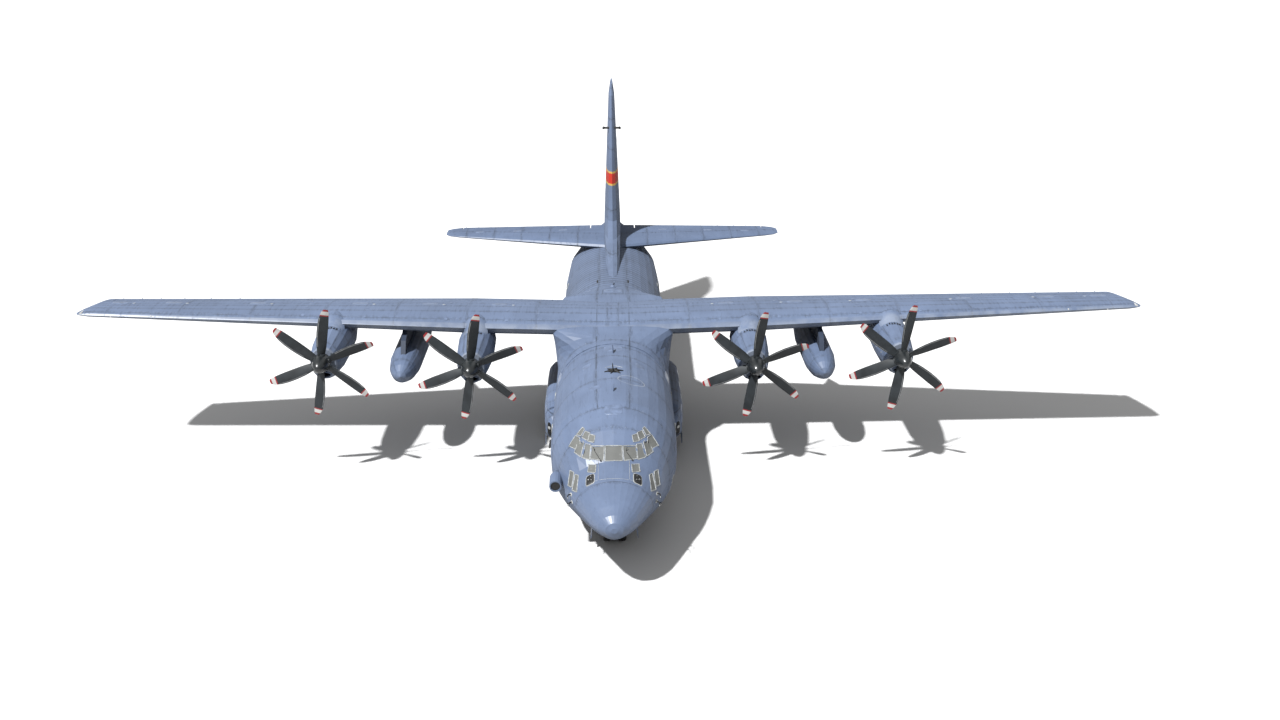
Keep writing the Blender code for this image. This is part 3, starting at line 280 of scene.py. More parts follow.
# Height of the fuselage's widest part
BODY_MIDDLE = 2.76
# Ring joints of the fuselage, from the nose tip aft
RINGS = (4.50, 6.43, 8.62, 9.50, 10.20, 13.40, 15.45, 17.60, 19.40, 21.30, 23.10, 25.20, 27.30)


def body_seams(skin, x, y, z):
    """Ring joints along the fuselage and joints along its length."""
    turn = skin.maths("ARCTAN2", z - BODY_MIDDLE, abs(x))
    rings = abs(y - 3.02 - z.most(2.4) * 0.12)
    for ring in RINGS:
        rings = rings.least(abs(y - ring))
    along = (turn * 2.15).off_line(2.36, 0.40)
    return rings.least(along + y.fall(3.4, 4.5) * 9.0)


def tail_frames(skin, x, y, z):
    """Ring frames that show through the thin skin, close together at the tail."""
    return y.off_line(0.30).fall(0.02, 0.10) * y.rise(15.5, 18.0)


def crown_marks(skin, x, y, z, up, tone, patches):
    """Walkway edges, an oval panel and a hatch on the crown."""
    walk = abs(abs(x) - 0.62).fall(0.012, 0.035) * y.between(6.7, 17.2, 0.1) * up.rise(0.5, 0.7)
    walk = walk * patches.rise(0.38, 0.62)
    tone = skin.mix(walk * 0.50, tone, DARK_MARKS_AND_SHADE)
    over = (x - 0.62) / 0.46
    ahead = (y - 6.45) / 0.36
    ring = skin.maths("SQRT", over * over + ahead * ahead)
    oval = abs(ring - 1.0).fall(0.02, 0.06) * up.rise(0.5, 0.7) * patches.rise(0.25, 0.5)
    tone = skin.mix(oval * 0.6, tone, PAINT_PALE)
    hatch = abs(abs(y - 15.9).most(abs(x)) - 0.42).fall(0.01, 0.03) * up.rise(0.5, 0.7)
    return skin.mix(hatch * 0.5, tone, DARK_MARKS_AND_SHADE)


# How far out the engines' centre lines lie
ENGINE_SPANS = (5.22, 10.62)
WING_FRONT = 11.22
WING_CHORD = 4.62
WING_TAPER = 0.1538
TAPER_START = 5.60


def wing_seams(skin, x, y, z):
    """Joints across the chord, and along the span where the spars are."""
    chord = WING_CHORD - (abs(x) - TAPER_START).most(0.0) * WING_TAPER
    share = (y - WING_FRONT) / chord
    along = abs(share - 0.065)
    for spar in (0.20, 0.34, 0.45, 0.62, 0.715):
        along = along.least(abs(share - spar))
    return (abs(x).off_line(2.70, 2.92) + 0.006).least(along * chord)


def wing_marks(skin, x, y, z, up, tone, patches):
    """Bright worn leading edge, walkway edges near the root and oil behind the engines."""
    front = y.fall(WING_FRONT - 0.02, WING_FRONT + 0.16)
    tone = skin.mix(front * patches.rise(0.3, 0.6) * 0.35, tone, PAINT_PALE)
    walk = abs(abs(x) - 0.62).fall(0.012, 0.035) * up.rise(0.5, 0.7) * patches.rise(0.38, 0.62)
    tone = skin.mix(walk * 0.50, tone, DARK_MARKS_AND_SHADE)
    for thrust in ENGINE_SPANS:
        smear = abs(abs(x) - thrust).fall(0.15, 0.75) * up.fall(-0.3, 0.1) * y.rise(12.6, 14.0)
        tone = skin.mix(smear * 0.7, tone, SOOT)
    return tone


def tail_seams(skin, x, y, z):
    return abs(x).off_line(1.35, 0.3).least(abs(y - 24.4 - abs(x) * 0.17))


def fin_seams(skin, x, y, z):
    return z.off_line(1.28, 0.15).least(abs(y - 25.2 - (z - 6.1) * 0.42))


BAND = (7.58, 8.17)
BAND_EDGE = 0.08
BAND_RED = (0.66, 0.0, 0.006)
BAND_YELLOW = (0.80, 0.50, 0.10)


def fin_band(skin, x, y, z, up, tone, patches):
    """The red band round the fin, with a thin yellow border on each side."""
    faded = 0.88 + patches * 0.12
    tone = skin.mix(z.between(*BAND, 0.008) * faded, tone, BAND_YELLOW)
    red = z.between(BAND[0] + BAND_EDGE, BAND[1] - BAND_EDGE, 0.008)
    return skin.mix(red * faded, tone, BAND_RED)


def nacelle_paint(name, thrust_x, thrust_z):
    """Cowling paint: joints round and along it, soot at its rear and a worn front lip."""
    def seams(skin, x, y, z):
        turn = skin.maths("ARCTAN2", z - thrust_z, abs(x - thrust_x))
        rings = abs(y - 9.62).least(abs(y - 10.75)).least(abs(y - 11.9)).least(abs(y - 12.9))
        return rings.least((turn * 0.7).off_line(0.55, 0.12))

    def soot(skin, x, y, z, up, tone, patches):
        dirt = y.rise(12.6, 13.7) * (0.55 + patches * 0.45) * z.fall(thrust_z - 0.1, thrust_z + 0.3)
        tone = skin.mix(dirt * 0.85, tone, SOOT)
        lip = y.fall(9.30, 9.42)
        return skin.mix(lip * 0.45, tone, PAINT_PALE)

    return painted_skin(name, seams, (1.0, 9.0, 1.0), extra=soot)


# The tanks' centre line: how far out and how high
TANK_LINE = (7.97, 3.62)


def tank_seams(skin, x, y, z):
    turn = skin.maths("ARCTAN2", z - TANK_LINE[1], abs(abs(x) - TANK_LINE[0]))
    return y.off_line(1.15, 0.2).least((turn * 0.6).off_line(0.94, 0.47))


def gear_seams(skin, x, y, z):
    return y.off_line(0.95, 0.31).least(z.off_line(0.62, 0.2))


def plain_wear(name, colour, roughness, spread=0.25, size=0.12, metallic=0.0, coat=0.0,
               streak=(1.0, 1.0, 1.0), bump=0.0006, specular=0.4):
    """A worn finish: the colour clouded, scuffed and a little rougher where it is dirty."""
    worn = Finish(name, metallic, coat, specular)
    clouds = worn.noise(size, streak)
    scuffs = worn.noise(size * 0.22, streak, detail=3.0)
    tone = worn.mix(clouds.rise(0.3, 0.7), shade(colour, 1.0 - spread), shade(colour, 1.0 + spread))
    tone = worn.mix(scuffs.rise(0.62, 0.75) * 0.35, tone, shade(colour, 1.9))
    return worn.wear(tone, roughness + clouds * 0.18, clouds + scuffs * 0.4, bump, 0.35)


HULL = painted_skin("hull_paint", body_seams, (1.0, 14.0, 1.0), extra=crown_marks, frames=tail_frames)
WING_PAINT = painted_skin("wing_paint", wing_seams, (1.0, 16.0, 1.0), extra=wing_marks)
TAIL_PAINT = painted_skin("tailplane_paint", tail_seams, (1.0, 12.0, 1.0), specular=0.16)
FIN_PAINT = painted_skin("fin_paint", fin_seams, (1.0, 10.0, 1.0), extra=fin_band)
TANK_PAINT = painted_skin("tank_paint", tank_seams, (1.0, 12.0, 1.0))
# Darker than the plane's own paint: painted shade for the wing's shade on the pylons
PYLON_PAINTED_SHADE = painted_skin(
    "pylon_painted_shade", tank_seams, (1.0, 12.0, 1.0), colour=shade(PAINT, 0.30), specular=0.2
)
GEAR_HOUSING = painted_skin("sponson_paint", gear_seams, (1.0, 9.0, 1.0))
RADOME = painted_skin(
    "radome_paint_worn", lambda skin, x, y, z: abs(y - 1.68), (1.0, 5.0, 1.0),
    colour=shade(PAINT, 1.04),
)
BLADE = plain_wear("blade_composite_worn", (0.030, 0.037, 0.043), 0.50, 0.30, 0.5, specular=0.25)
SPINNER_BLACK = plain_wear("spinner_gloss", (0.022, 0.027, 0.030), 0.26, 0.25, 0.4, coat=0.25)
EROSION = plain_wear("blade_edge_metal", (0.42, 0.43, 0.44), 0.38, 0.3, 0.2, metallic=0.6)
TIP_RED = plain_wear("tip_red", (0.42, 0.02, 0.025), 0.42, 0.2, 0.2)
TIP_WHITE = plain_wear("tip_white", (0.78, 0.78, 0.76), 0.42, 0.08, 0.2)
PANE = plain_wear("pane_glass", (0.225, 0.232, 0.222), 0.55, 0.10, 0.6, bump=0.0001, specular=0.2)
PANE_FRAME = plain_wear("pane_frame", (0.50, 0.52, 0.52), 0.45, 0.35, 0.06)
# Black for real fittings, and also painted shade in the air scoop's mouth and round the sponsons' lamps
BLACK = plain_wear("black_fitting_and_painted_shade", (0.012, 0.012, 0.013), 0.5, 0.3, 0.1)
PALE = plain_wear("pale_fitting", (0.62, 0.64, 0.64), 0.4, 0.2, 0.1)
STEEL = plain_wear("gear_white_enamel", (0.60, 0.62, 0.62), 0.36, 0.18, 0.14, coat=0.2)
CHROME = plain_wear("oleo_chrome", (0.75, 0.76, 0.77), 0.10, 0.08, 0.2, metallic=1.0)
RIM = plain_wear("rim_enamel", (0.46, 0.48, 0.49), 0.4, 0.25, 0.1, coat=0.2)
HOT_METAL = plain_wear("exhaust_metal", (0.16, 0.12, 0.09), 0.5, 0.45, 0.1, metallic=0.8)
PRIMER = plain_wear("cabin_lining", (0.24, 0.29, 0.25), 0.6, 0.2, 0.3)
SEAT_RED = plain_wear("seat_webbing", (0.34, 0.03, 0.02), 0.8, 0.3, 0.05, streak=(1.0, 1.0, 4.0))
DECK = plain_wear("deck_grip", (0.10, 0.105, 0.11), 0.7, 0.35, 0.12)
LAMP = plain_wear("lamp_lens", (0.85, 0.86, 0.84), 0.12, 0.05, 0.2, coat=0.6)
RED_LAMP = plain_wear("red_lens", (0.60, 0.03, 0.02), 0.15, 0.1, 0.1, coat=0.6)
GREEN_LAMP = plain_wear("green_lens", (0.03, 0.40, 0.12), 0.15, 0.1, 0.1, coat=0.6)


def tyre_rubber():
    """Rubber with fine scuffs and grey dust near the ground."""
    rubber = Finish("tyre_rubber_dusty", specular=0.35)
    _, _, z = rubber.place()
    dust = rubber.noise(0.09, detail=5.0)
    fine = rubber.noise(0.015, detail=2.0)
    tone = rubber.mix(dust.rise(0.35, 0.8) * 0.6, (0.016, 0.016, 0.017), (0.06, 0.058, 0.055))
    tone = rubber.mix(z.fall(0.0, 0.12) * 0.5, tone, (0.13, 0.12, 0.11))
    return rubber.wear(tone, 0.72 + dust * 0.2, fine, 0.0008, 0.4)


RUBBER = tyre_rubber()


# Mesh tools
class Shape:
    """Points and faces at full size, gathered into one piece."""

    def __init__(self):
        self.points = []
        self.faces = []
        self.coats = []

    def add(self, points, faces, coat=0):
        start = len(self.points)
        self.points += [Vector(point) for point in points]
        self.faces += [[start + i for i in face] for face in faces]
        self.coats += [coat] * len(faces)

    def loft(self, rings, coat=0, caps=True, ring_coats=None, closed=True):
        """Skins rings of equal length; ring_coats paints each stretch between two rings."""
        count = len(rings[0])
        points = [point for ring in rings for point in ring]
        last = count if closed else count - 1
        for r in range(len(rings) - 1):
            a, b = r * count, (r + 1) * count
            faces = []
            for i in range(last):
                j = (i + 1) % count
                faces.append((a + i, a + j, b + j, b + i))
            chosen = ring_coats[r] if ring_coats else coat
            if r == 0:
                self.add(points, faces, chosen)
                base = len(self.points) - len(points)
            else:
                self.faces += [[base + i for i in face] for face in faces]
                self.coats += [chosen] * len(faces)
        if caps:
            self.faces.append([base + i for i in range(count)][::-1])
            self.faces.append([base + (len(rings) - 1) * count + i for i in range(count)])
            self.coats += [coat, coat]

    def tube(self, path, radius, sides=10, coat=0, taper=1.0):
        """A round bar along a path, tapering to taper times its radius."""
        path = [Vector(point) for point in path]
        rings = []
        side = None
        for i, point in enumerate(path):
            ahead = (path[min(i + 1, len(path) - 1)] - path[max(i - 1, 0)]).normalized()
            if side is None:
                side = ahead.orthogonal().normalized()
            side = (side - ahead * side.dot(ahead)).normalized()
            over = ahead.cross(side)
            size = radius * (1 + (taper - 1) * i / (len(path) - 1))
            rings.append([
                point + (side * math.cos(t) + over * math.sin(t)) * size for t in circle(sides)
            ])
        self.loft(rings, coat)

    def block(self, low, high, coat=0, bevel=0.12):
        """A box with its four long edges cut off."""
        low, high = Vector(low), Vector(high)
        size = high - low
        long_way = max(range(3), key=lambda i: size[i])
        a, b = [i for i in range(3) if i != long_way]
        cut = bevel * min(size[a], size[b])
        corners = [
            (low[a] + cut, low[b]), (high[a] - cut, low[b]), (high[a], low[b] + cut),
            (high[a], high[b] - cut), (high[a] - cut, high[b]), (low[a] + cut, high[b]),
            (low[a], high[b] - cut), (low[a], low[b] + cut),
        ]
        rings = []
        for end in (low[long_way], high[long_way]):
            ring = []
            for p, q in corners:
                point = [0.0, 0.0, 0.0]
                point[long_way], point[a], point[b] = end, p, q
                ring.append(point)
            rings.append(ring)
        self.loft(rings, coat)

    def turned(self, profile, centre, axis, steps=32, coats=None):
        """A profile of (along the axis, radius) turned about an axis through centre."""
        axis = Vector(axis).normalized()
        side = axis.orthogonal().normalized()
        over = axis.cross(side)
        rings = []
        for along, radius in profile:
            rings.append([
                Vector(centre) + axis * along + (side * math.cos(t) + over * math.sin(t)) * radius
                for t in circle(steps)
            ])
        self.loft(rings, 0, True, coats)

    def piece(self, name, body, finishes, slot, crease=40):
        """Makes the object, in the frame's metres, riding on its body."""
        mesh = bpy.data.meshes.new(name)
        mesh.from_pydata([put(point) for point in self.points], [], self.faces)
        for finish in finishes:
            mesh.materials.append(finish)
        mesh.polygons.foreach_set("material_index", self.coats)
        mesh.update()
        made = bpy.data.objects.new(name, mesh)
        bpy.context.scene.collection.objects.link(made)
        mesh.shade_smooth()
        mesh.set_sharp_from_angle(angle=math.radians(crease))
        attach(made, body)
        return made


def tree_of(*names):
    """A tree of the solids' faces, to set pieces on their skin."""
    points, faces = [], []
    for name in names:
        mesh = NODES[name].data
        start = len(points)
        points += [full(vertex.co) for vertex in mesh.vertices]
        faces += [[start + i for i in polygon.vertices] for polygon in mesh.polygons]
    return BVHTree.FromPolygons(points, faces)


SKIN = tree_of(
    "radome", "flight_deck_shell", "crew_door", "forward_fuselage", "centre_fuselage",
    "aft_fuselage", "tail_cone", "wing_fairing", "paratroop_door_left", "paratroop_door_right",
    "aft_cargo_door",
)
NOSE_SKIN = tree_of("radome", "flight_deck_shell", "forward_fuselage", "flight_deck_glazing")
WING_SKIN = tree_of("centre_wing", "outer_wing_left", "outer_wing_right")
FIN_SKIN = tree_of("fin")
WING_OF = {
    "outer_left": "outer_wing_left", "inner_left": "centre_wing",
    "inner_right": "centre_wing", "outer_right": "outer_wing_right",
}
FAR = 40.0
# Heights that a search for the skin starts at; reach() moves them far outside
OVER_BODY = 6.0
OVER_WING = 7.0
UNDER_WING = 1.0
UNDER_BODY = -1.0


def reach(tree, start, way):
    """Where a line from far outside meets the skin first, and the skin's way out there."""
    way = Vector(way)
    hit, normal, _, _ = tree.ray_cast(Vector(start) - way * FAR, way)
    if hit is None:
        hit, normal, _, _ = tree.find_nearest(Vector(start))
    return hit, (normal if normal.dot(way) < 0 else -normal)


# Solids' own finishes
HULL_NODES = (
    "flight_deck_shell", "forward_fuselage", "centre_fuselage", "aft_fuselage", "tail_cone",
    "aft_cargo_door", "crew_door", "paratroop_door_left", "paratroop_door_right", "wing_fairing",
    "air_scoop",
)
WING_NODES = (
    "centre_wing", "outer_wing_left", "outer_wing_right", "aileron_left", "aileron_right",
    "inner_flap_left", "inner_flap_right", "outer_flap_left", "outer_flap_right",
)
NODE_FINISH = {name: HULL for name in HULL_NODES}
NODE_FINISH.update({name: WING_PAINT for name in WING_NODES})
NODE_FINISH.update({
    "tailplane": TAIL_PAINT, "elevator_left": TAIL_PAINT, "elevator_right": TAIL_PAINT,
    "fin": FIN_PAINT, "rudder": FIN_PAINT, "radome": RADOME,
    "fuel_tank_left": TANK_PAINT, "fuel_tank_right": TANK_PAINT,
    # The pylons take the darker paint: painted shade
    "tank_pylon_left": PYLON_PAINTED_SHADE, "tank_pylon_right": PYLON_PAINTED_SHADE,
    "sponson_left": GEAR_HOUSING, "sponson_right": GEAR_HOUSING,
    "main_gear_leg_left": STEEL, "main_gear_leg_right": STEEL, "nose_gear_leg": STEEL,
    "nose_gear_steering": STEEL, "cargo_floor": DECK, "cargo_ramp": DECK, "flight_deck": DECK,
    "forward_bulkhead": PRIMER, "flight_deck_glazing": PANE,
})
ENGINES = {}
for name in ("outer_left", "inner_left", "inner_right", "outer_right"):
    hub = full(JOINTS[f"propeller_{name}"]["pos_m"])
    ENGINES[name] = hub
    NODE_FINISH[f"nacelle_{name}"] = nacelle_paint(f"cowling_paint_{name}", hub.x, hub.z)
    NODE_FINISH[f"engine_{name}"] = HOT_METAL
for name, node in NODES.items():
    if name in NODE_FINISH:
        node.data.materials.clear()
        node.data.materials.append(NODE_FINISH[name])


# Propellers
BLADES = 6
BLADE_CLOCK = math.radians(11.5)
PROP_RADIUS = 2.057
# Blade: radius, chord, pitch in degrees from the disc, sweep, thickness
BLADE_SECTIONS = [
    (0.22, 0.24, 33.0, 0.03, 0.120), (0.40, 0.31, 30.0, 0.045, 0.095),
    (0.60, 0.36, 26.0, 0.06, 0.072), (0.85, 0.385, 22.0, 0.08, 0.058),
    (1.15, 0.40, 19.0, 0.10, 0.045), (1.45, 0.39, 16.0, 0.108, 0.036),
    (1.70, 0.355, 14.0, 0.11, 0.028), (1.86, 0.305, 12.5, 0.102, 0.022),
    (1.97, 0.245, 11.5, 0.09, 0.017), (2.03, 0.19, 11.0, 0.078, 0.013),
    (PROP_RADIUS, 0.14, 10.5, 0.072, 0.010),
]
# Where the tip bands lie: radius, and coat of the blade inside it
TIP_BANDS = [(1.80, 0), (1.845, 1), (1.985, 2), (PROP_RADIUS, 1)]
BLADE_STEPS = 40
SECTION_POINTS = 9
# Where the metal sheath of the leading edge begins and ends along the blade
SHEATH_SPAN = (0.62, 1.80)
# Spinner: how far ahead of the hub, and the radius there
SPINNER = [
    (0.70, 0.004), (0.697, 0.035), (0.68, 0.075), (0.645, 0.125), (0.59, 0.175), (0.51, 0.222),
    (0.42, 0.258), (0.31, 0.286), (0.19, 0.304), (0.185, 0.298), (0.175, 0.298), (0.17, 0.306),
    (0.00, 0.316), (-0.12, 0.32), (-0.20, 0.314), (-0.205, 0.14), (-0.29, 0.14), (-0.295, 0.004),
]


def table_at(table, key):
    """A table's row at any key, on straight lines between its rows."""
    for low, high in zip(table, table[1:]):
        if key <= high[0]:
            share = (key - low[0]) / (high[0] - low[0])
            return [key] + [a + (b - a) * share for a, b in zip(low[1:], high[1:])]
    return list(table[-1])


def blade_section(radius, hub, clock):
    """Points round a blade's section, its leading edge first."""
    _, chord, pitch, sweep, thick = table_at(BLADE_SECTIONS, radius)
    out = Vector((math.sin(clock), 0.0, math.cos(clock)))
    turning = Vector((-math.cos(clock), 0.0, math.sin(clock)))
    angle = math.radians(pitch)
    lead = turning * math.cos(angle) + Vector((0.0, -1.0, 0.0)) * math.sin(angle)
    face = out.cross(lead)
    centre = hub + out * radius + turning * sweep
    steps = [0.5 * (1 - math.cos(math.pi * i / SECTION_POINTS)) for i in range(SECTION_POINTS + 1)]
    upper, lower = [], []
    for s in steps:
        half = 1.9 * math.sqrt(s) * (1 - s) ** 0.8
        along = 0.5 - s
        upper.append(centre + lead * along * chord + face * half * 0.55 * thick)
        lower.append(centre + lead * along * chord - face * half * 0.40 * thick)
    return upper + lower[-2:0:-1]


def make_propeller(name, hub):
    wheel = Shape()
    radii = [
        BLADE_SECTIONS[0][0] + (PROP_RADIUS - BLADE_SECTIONS[0][0]) * i / BLADE_STEPS
        for i in range(BLADE_STEPS + 1)
    ]
    edges = [radius for radius, _ in TIP_BANDS[:-1]]
    radii = sorted(set(radii + edges))
    coats = []
    for low, high in zip(radii, radii[1:]):
        middle = (low + high) / 2
        coats.append(next(coat for limit, coat in TIP_BANDS if middle < limit))
    for turn in circle(BLADES):
        clock = BLADE_CLOCK + turn
        rings = [blade_section(radius, hub, clock) for radius in radii]
        wheel.loft(rings, 0, True, coats)
        out = Vector((math.sin(clock), 0.0, math.cos(clock)))
        wheel.tube([hub + out * 0.20, hub + out * 0.30, hub + out * 0.345], 0.115, 16, 0, 0.86)
        sheath = []
        for radius in [r for r in radii if SHEATH_SPAN[0] < r < SHEATH_SPAN[1]][::2]:
            ring = blade_section(radius, hub, clock)
            edge, above, below = ring[0], ring[1], ring[-1]
            lift = (edge - (above + below) / 2).normalized() * 0.004
            sheath.append([
                edge + lift * 1.5, ring[2] + (ring[2] - ring[-2]).normalized() * 0.003,
                ring[-2] - (ring[2] - ring[-2]).normalized() * 0.003,
            ])
        wheel.loft(sheath, 3)
    wheel.turned(SPINNER, hub, (0, -1, 0), 48, [4] * (len(SPINNER) - 1))
    made = wheel.piece(
        f"propeller_blades_{name}", f"propeller_{name}",
        [BLADE, TIP_RED, TIP_WHITE, EROSION, SPINNER_BLACK], "blade_composite",
    )
    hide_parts(f"propeller_{name}")


for name, hub in ENGINES.items():
    make_propeller(name, hub)


# Engine trim
# The intake's mouth from the hub, and its half width and height
INTAKE_MOUTH = Vector((0.0, 0.30, -0.575))
INTAKE_HALF = (0.265, 0.105)
# Exhaust pipe: how far aft of its front, and the radius there
EXHAUST_PIPE = [(0.0, 0.165), (0.0, 0.185), (0.34, 0.175), (0.42, 0.17), (0.42, 0.155), (0.05, 0.150)]
EXHAUST_FRONT = 13.62
EXHAUST_DROP = 0.2
COWL_LATCHES = (9.9, 10.5, 11.2, 11.8)
LOUVRE_CORNERS = ((-0.028, -0.05), (0.028, -0.05), (0.028, 0.05), (-0.028, 0.05))


def make_engine_trim(name, hub):
    """Intake lip, exhaust pipe, small louvres and cowl latches."""
    trim = Shape()
    mouth = hub + INTAKE_MOUTH
    half_width, half_height = INTAKE_HALF
    lip = []
    for k in range(33):
        turn = 2 * math.pi * k / 32
        lip.append(mouth + Vector((half_width * math.cos(turn), -0.02, half_height * math.sin(turn))))
    trim.tube(lip, 0.020, 8, 0)
    front = (hub.x, EXHAUST_FRONT, hub.z - EXHAUST_DROP)
    trim.turned(EXHAUST_PIPE, front, (0, 1, 0), 28, [1] * 5)
    cowl = tree_of(f"nacelle_{name}")
    for i in range(6):
        spot, normal = reach(cowl, (hub.x - 0.24 + 0.095 * i, 10.78 + 0.03 * (i % 2), OVER_BODY), DOWN)
        slot = [spot + Vector((dx, dy, 0.006)) for dx, dy in LOUVRE_CORNERS]
        raised = [point + normal * 0.012 for point in slot]
        trim.loft([slot, raised], 2)
    for side in (-1, 1):
        for y in COWL_LATCHES:
            spot, normal = reach(cowl, (hub.x + side * 2.0, y, hub.z - 0.12), inward(side))
            trim.tube([spot - normal * 0.01, spot + normal * 0.010], 0.026, 8, 3)
    trim.piece(
        f"engine_trim_{name}", "airframe", [PAINT_TRIM, HOT_METAL, BLACK, PALE], "grey_paint"
    )


PAINT_TRIM = plain_wear("trim_paint", PAINT, 0.4, 0.2, 0.2, coat=0.15)
for name, hub in ENGINES.items():
    make_engine_trim(name, hub)


# Wheels
def tyre_profile(radius, half):
    """(across, radius) of a tyre with four grooves, from its outer bead to its inner bead."""
    bead, shoulder = 0.53 * radius, 0.90 * radius
    side = [(0.74 * half, bead), (0.90 * half, 0.60 * radius), (1.0 * half, 0.72 * radius),
            (0.98 * half, 0.82 * radius), (0.88 * half, shoulder), (0.70 * half, 0.965 * radius)]
    tread = []
    for groove in (0.50, 0.20):
        for step, depth in ((0.055, 0.0), (0.045, 0.022), (-0.045, 0.022), (-0.055, 0.0)):
            across = groove + step
            crown_radius = radius * (1.0 - 0.03 * across ** 2)
            tread.append((across * half, crown_radius - depth * radius * 1.2))
    port = side + tread
    return port + [(-across, r) for across, r in reversed(port)]


def make_wheel(name, body, centres, radius, width, axle=None):
    wheel = Shape()
    half = width / 2
    for centre in centres:
        profile = tyre_profile(radius, half)
        inner = profile[0][0] * 0.86
        profile = [(inner, 0.50 * radius)] + profile + [(-inner, 0.50 * radius)]
        wheel.turned(profile, centre, (1, 0, 0), 56, [0] * (len(profile) - 1))
        for face in (-1, 1):
            disc = [(0.745 * half, 0.535 * radius), (0.78 * half, 0.515 * radius),
                    (0.66 * half, 0.48 * radius), (0.40 * half, 0.43 * radius),
                    (0.34 * half, 0.26 * radius), (0.42 * half, 0.22 * radius),
                    (0.46 * half, 0.12 * radius), (0.46 * half, 0.004)]
            wheel.turned([(face * a, r) for a, r in disc], centre, (1, 0, 0), 40, [1] * 7)
            for turn in circle(8):
                spot = Vector(centre) + Vector((0, math.cos(turn), math.sin(turn))) * 0.175 * radius
                start = spot + Vector((face * 0.40 * half, 0, 0))
                wheel.tube([start, start + Vector((face * 0.12 * half, 0, 0))], 0.020 * radius + 0.004,
                           6, 2)
            for turn in circle(10, 0.5):
                spot = Vector(centre) + Vector((0, math.cos(turn), math.sin(turn))) * 0.345 * radius
                start = spot + Vector((face * 0.362 * half, 0, 0))
                wheel.tube([start, start + Vector((face * 0.02 * half, 0, 0))], 0.045 * radius, 12, 3)
    if axle:
        wheel.tube(axle, 0.05, 16, 2)
    made = wheel.piece(name, body, [RUBBER, RIM, STEEL, BLACK], "tyre_rubber", 32)
    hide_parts(body)


for node in sorted(NODES):
    if node.startswith("main_wheel_"):
        low, high = (full(corner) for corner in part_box(node))
        make_wheel(f"{node}_tyre", node, [(low + high) / 2], (high.z - low.z) / 2, high.x - low.x)
low, high = (full(corner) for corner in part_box("nose_wheels"))
NOSE_AXLE = (low + high) / 2
NOSE_TYRE = 0.28
track = (high.x - low.x - NOSE_TYRE) / 2
make_wheel(
    "nose_wheels_tyres", "nose_wheels",
    [NOSE_AXLE + Vector((side * track, 0, 0)) for side in (-1, 1)],
    (high.z - low.z) / 2, NOSE_TYRE,
    [NOSE_AXLE - Vector((track, 0, 0)), NOSE_AXLE + Vector((track, 0, 0))],
)


# Pieces set on the skin
def grown_corners(corners, grow=0.012):
    """A pane's corners, moved a little outside its opening."""
    middle = Vector((sum(c[0] for c in corners), sum(c[1] for c in corners))) / len(corners)
    wide = []
    for corner in corners:
        away = Vector(corner) - middle
        wide.append(Vector(corner) + away.normalized() * grow * 1.45)
    return wide


def skin_edge(start, end, steps):
    """Points on the skin between two of its points."""
    edge = [start]
    for i in range(1, steps):
        between = start.lerp(end, i / steps)
        hit, _, _, _ = NOSE_SKIN.find_nearest(between)
        edge.append(hit if (hit - between).length < 0.06 else between)
    return edge + [end]


def lift(axis, side, point):
    """A pane's point on the skin, seen along its own axis."""
    a, b = point
    if axis == "Y":
        return reach(NOSE_SKIN, (side * a, 1.0, b), (0, 1, 0))
    if axis == "X":
        return reach(NOSE_SKIN, (side * 3.0, a, b), inward(side))
    return reach(NOSE_SKIN, (side * a, b, OVER_BODY), DOWN)


# Cockpit panes of the left side: axis they are seen along, corners
PANES = [
    ("Y", [(0.345, 3.55), (0.735, 3.56), (0.71, 3.855), (0.315, 3.905)]),
    ("Y", [(0.785, 3.54), (1.015, 3.555), (0.905, 3.855), (0.75, 3.875)]),
    ("Y", [(1.07, 3.57), (1.265, 3.60), (1.15, 3.89), (0.975, 3.865)]),
    ("X", [(3.13, 3.63), (3.49, 3.64), (3.68, 3.92), (3.46, 3.92)]),
    ("X", [(1.90, 2.77), (2.15, 2.71), (2.51, 3.08), (2.37, 3.09)]),
    ("X", [(2.25, 2.77), (2.48, 2.72), (2.73, 3.11), (2.59, 3.10)]),
    ("Z", [(0.60, 2.18), (0.825, 2.31), (0.805, 2.545), (0.585, 2.475)]),
    ("Z", [(1.02, 3.83), (0.97, 3.73), (1.07, 3.53), (1.20, 3.70)]),
    ("Z", [(0.93, 3.62), (0.79, 3.46), (0.85, 3.24), (1.02, 3.43)]),
    ("Z", [(0.77, 3.40), (0.62, 3.29), (0.65, 3.09), (0.82, 3.20)]),
]
CENTRE_PANE = ("Y", [(-0.27, 3.55), (0.27, 3.55), (0.255, 3.91), (-0.255, 3.91)])
PANE_STEPS = 6


def make_pane(glass, axis, corners, side):
    """A flush pane as curved as the skin round it, with a pale seal along its edge."""
    ends = []
    for point in grown_corners(corners):
        spot, normal = lift(axis, side, point)
        ends.append(spot + normal * 0.006)
    up = skin_edge(ends[0], ends[1], PANE_STEPS)
    far = skin_edge(ends[1], ends[2], PANE_STEPS)
    down = skin_edge(ends[3], ends[2], PANE_STEPS)
    near = skin_edge(ends[0], ends[3], PANE_STEPS)
    grid = []
    for j in range(PANE_STEPS + 1):
        v = j / PANE_STEPS
        for i in range(PANE_STEPS + 1):
            u = i / PANE_STEPS
            edge = up[i] * (1 - v) + down[i] * v + near[j] * (1 - u) + far[j] * u
            corner = (up[0] * (1 - u) + up[-1] * u) * (1 - v) + (down[0] * (1 - u) + down[-1] * u) * v
            grid.append(edge - corner)
    row = PANE_STEPS + 1
    faces = [
        (j * row + i, j * row + i + 1, (j + 1) * row + i + 1, (j + 1) * row + i)
        for j in range(PANE_STEPS) for i in range(PANE_STEPS)
    ]
    glass.add(grid, faces, 0)
    glass.tube(up + far[1:] + down[-2::-1] + near[-2::-1], 0.017, 6, 1)


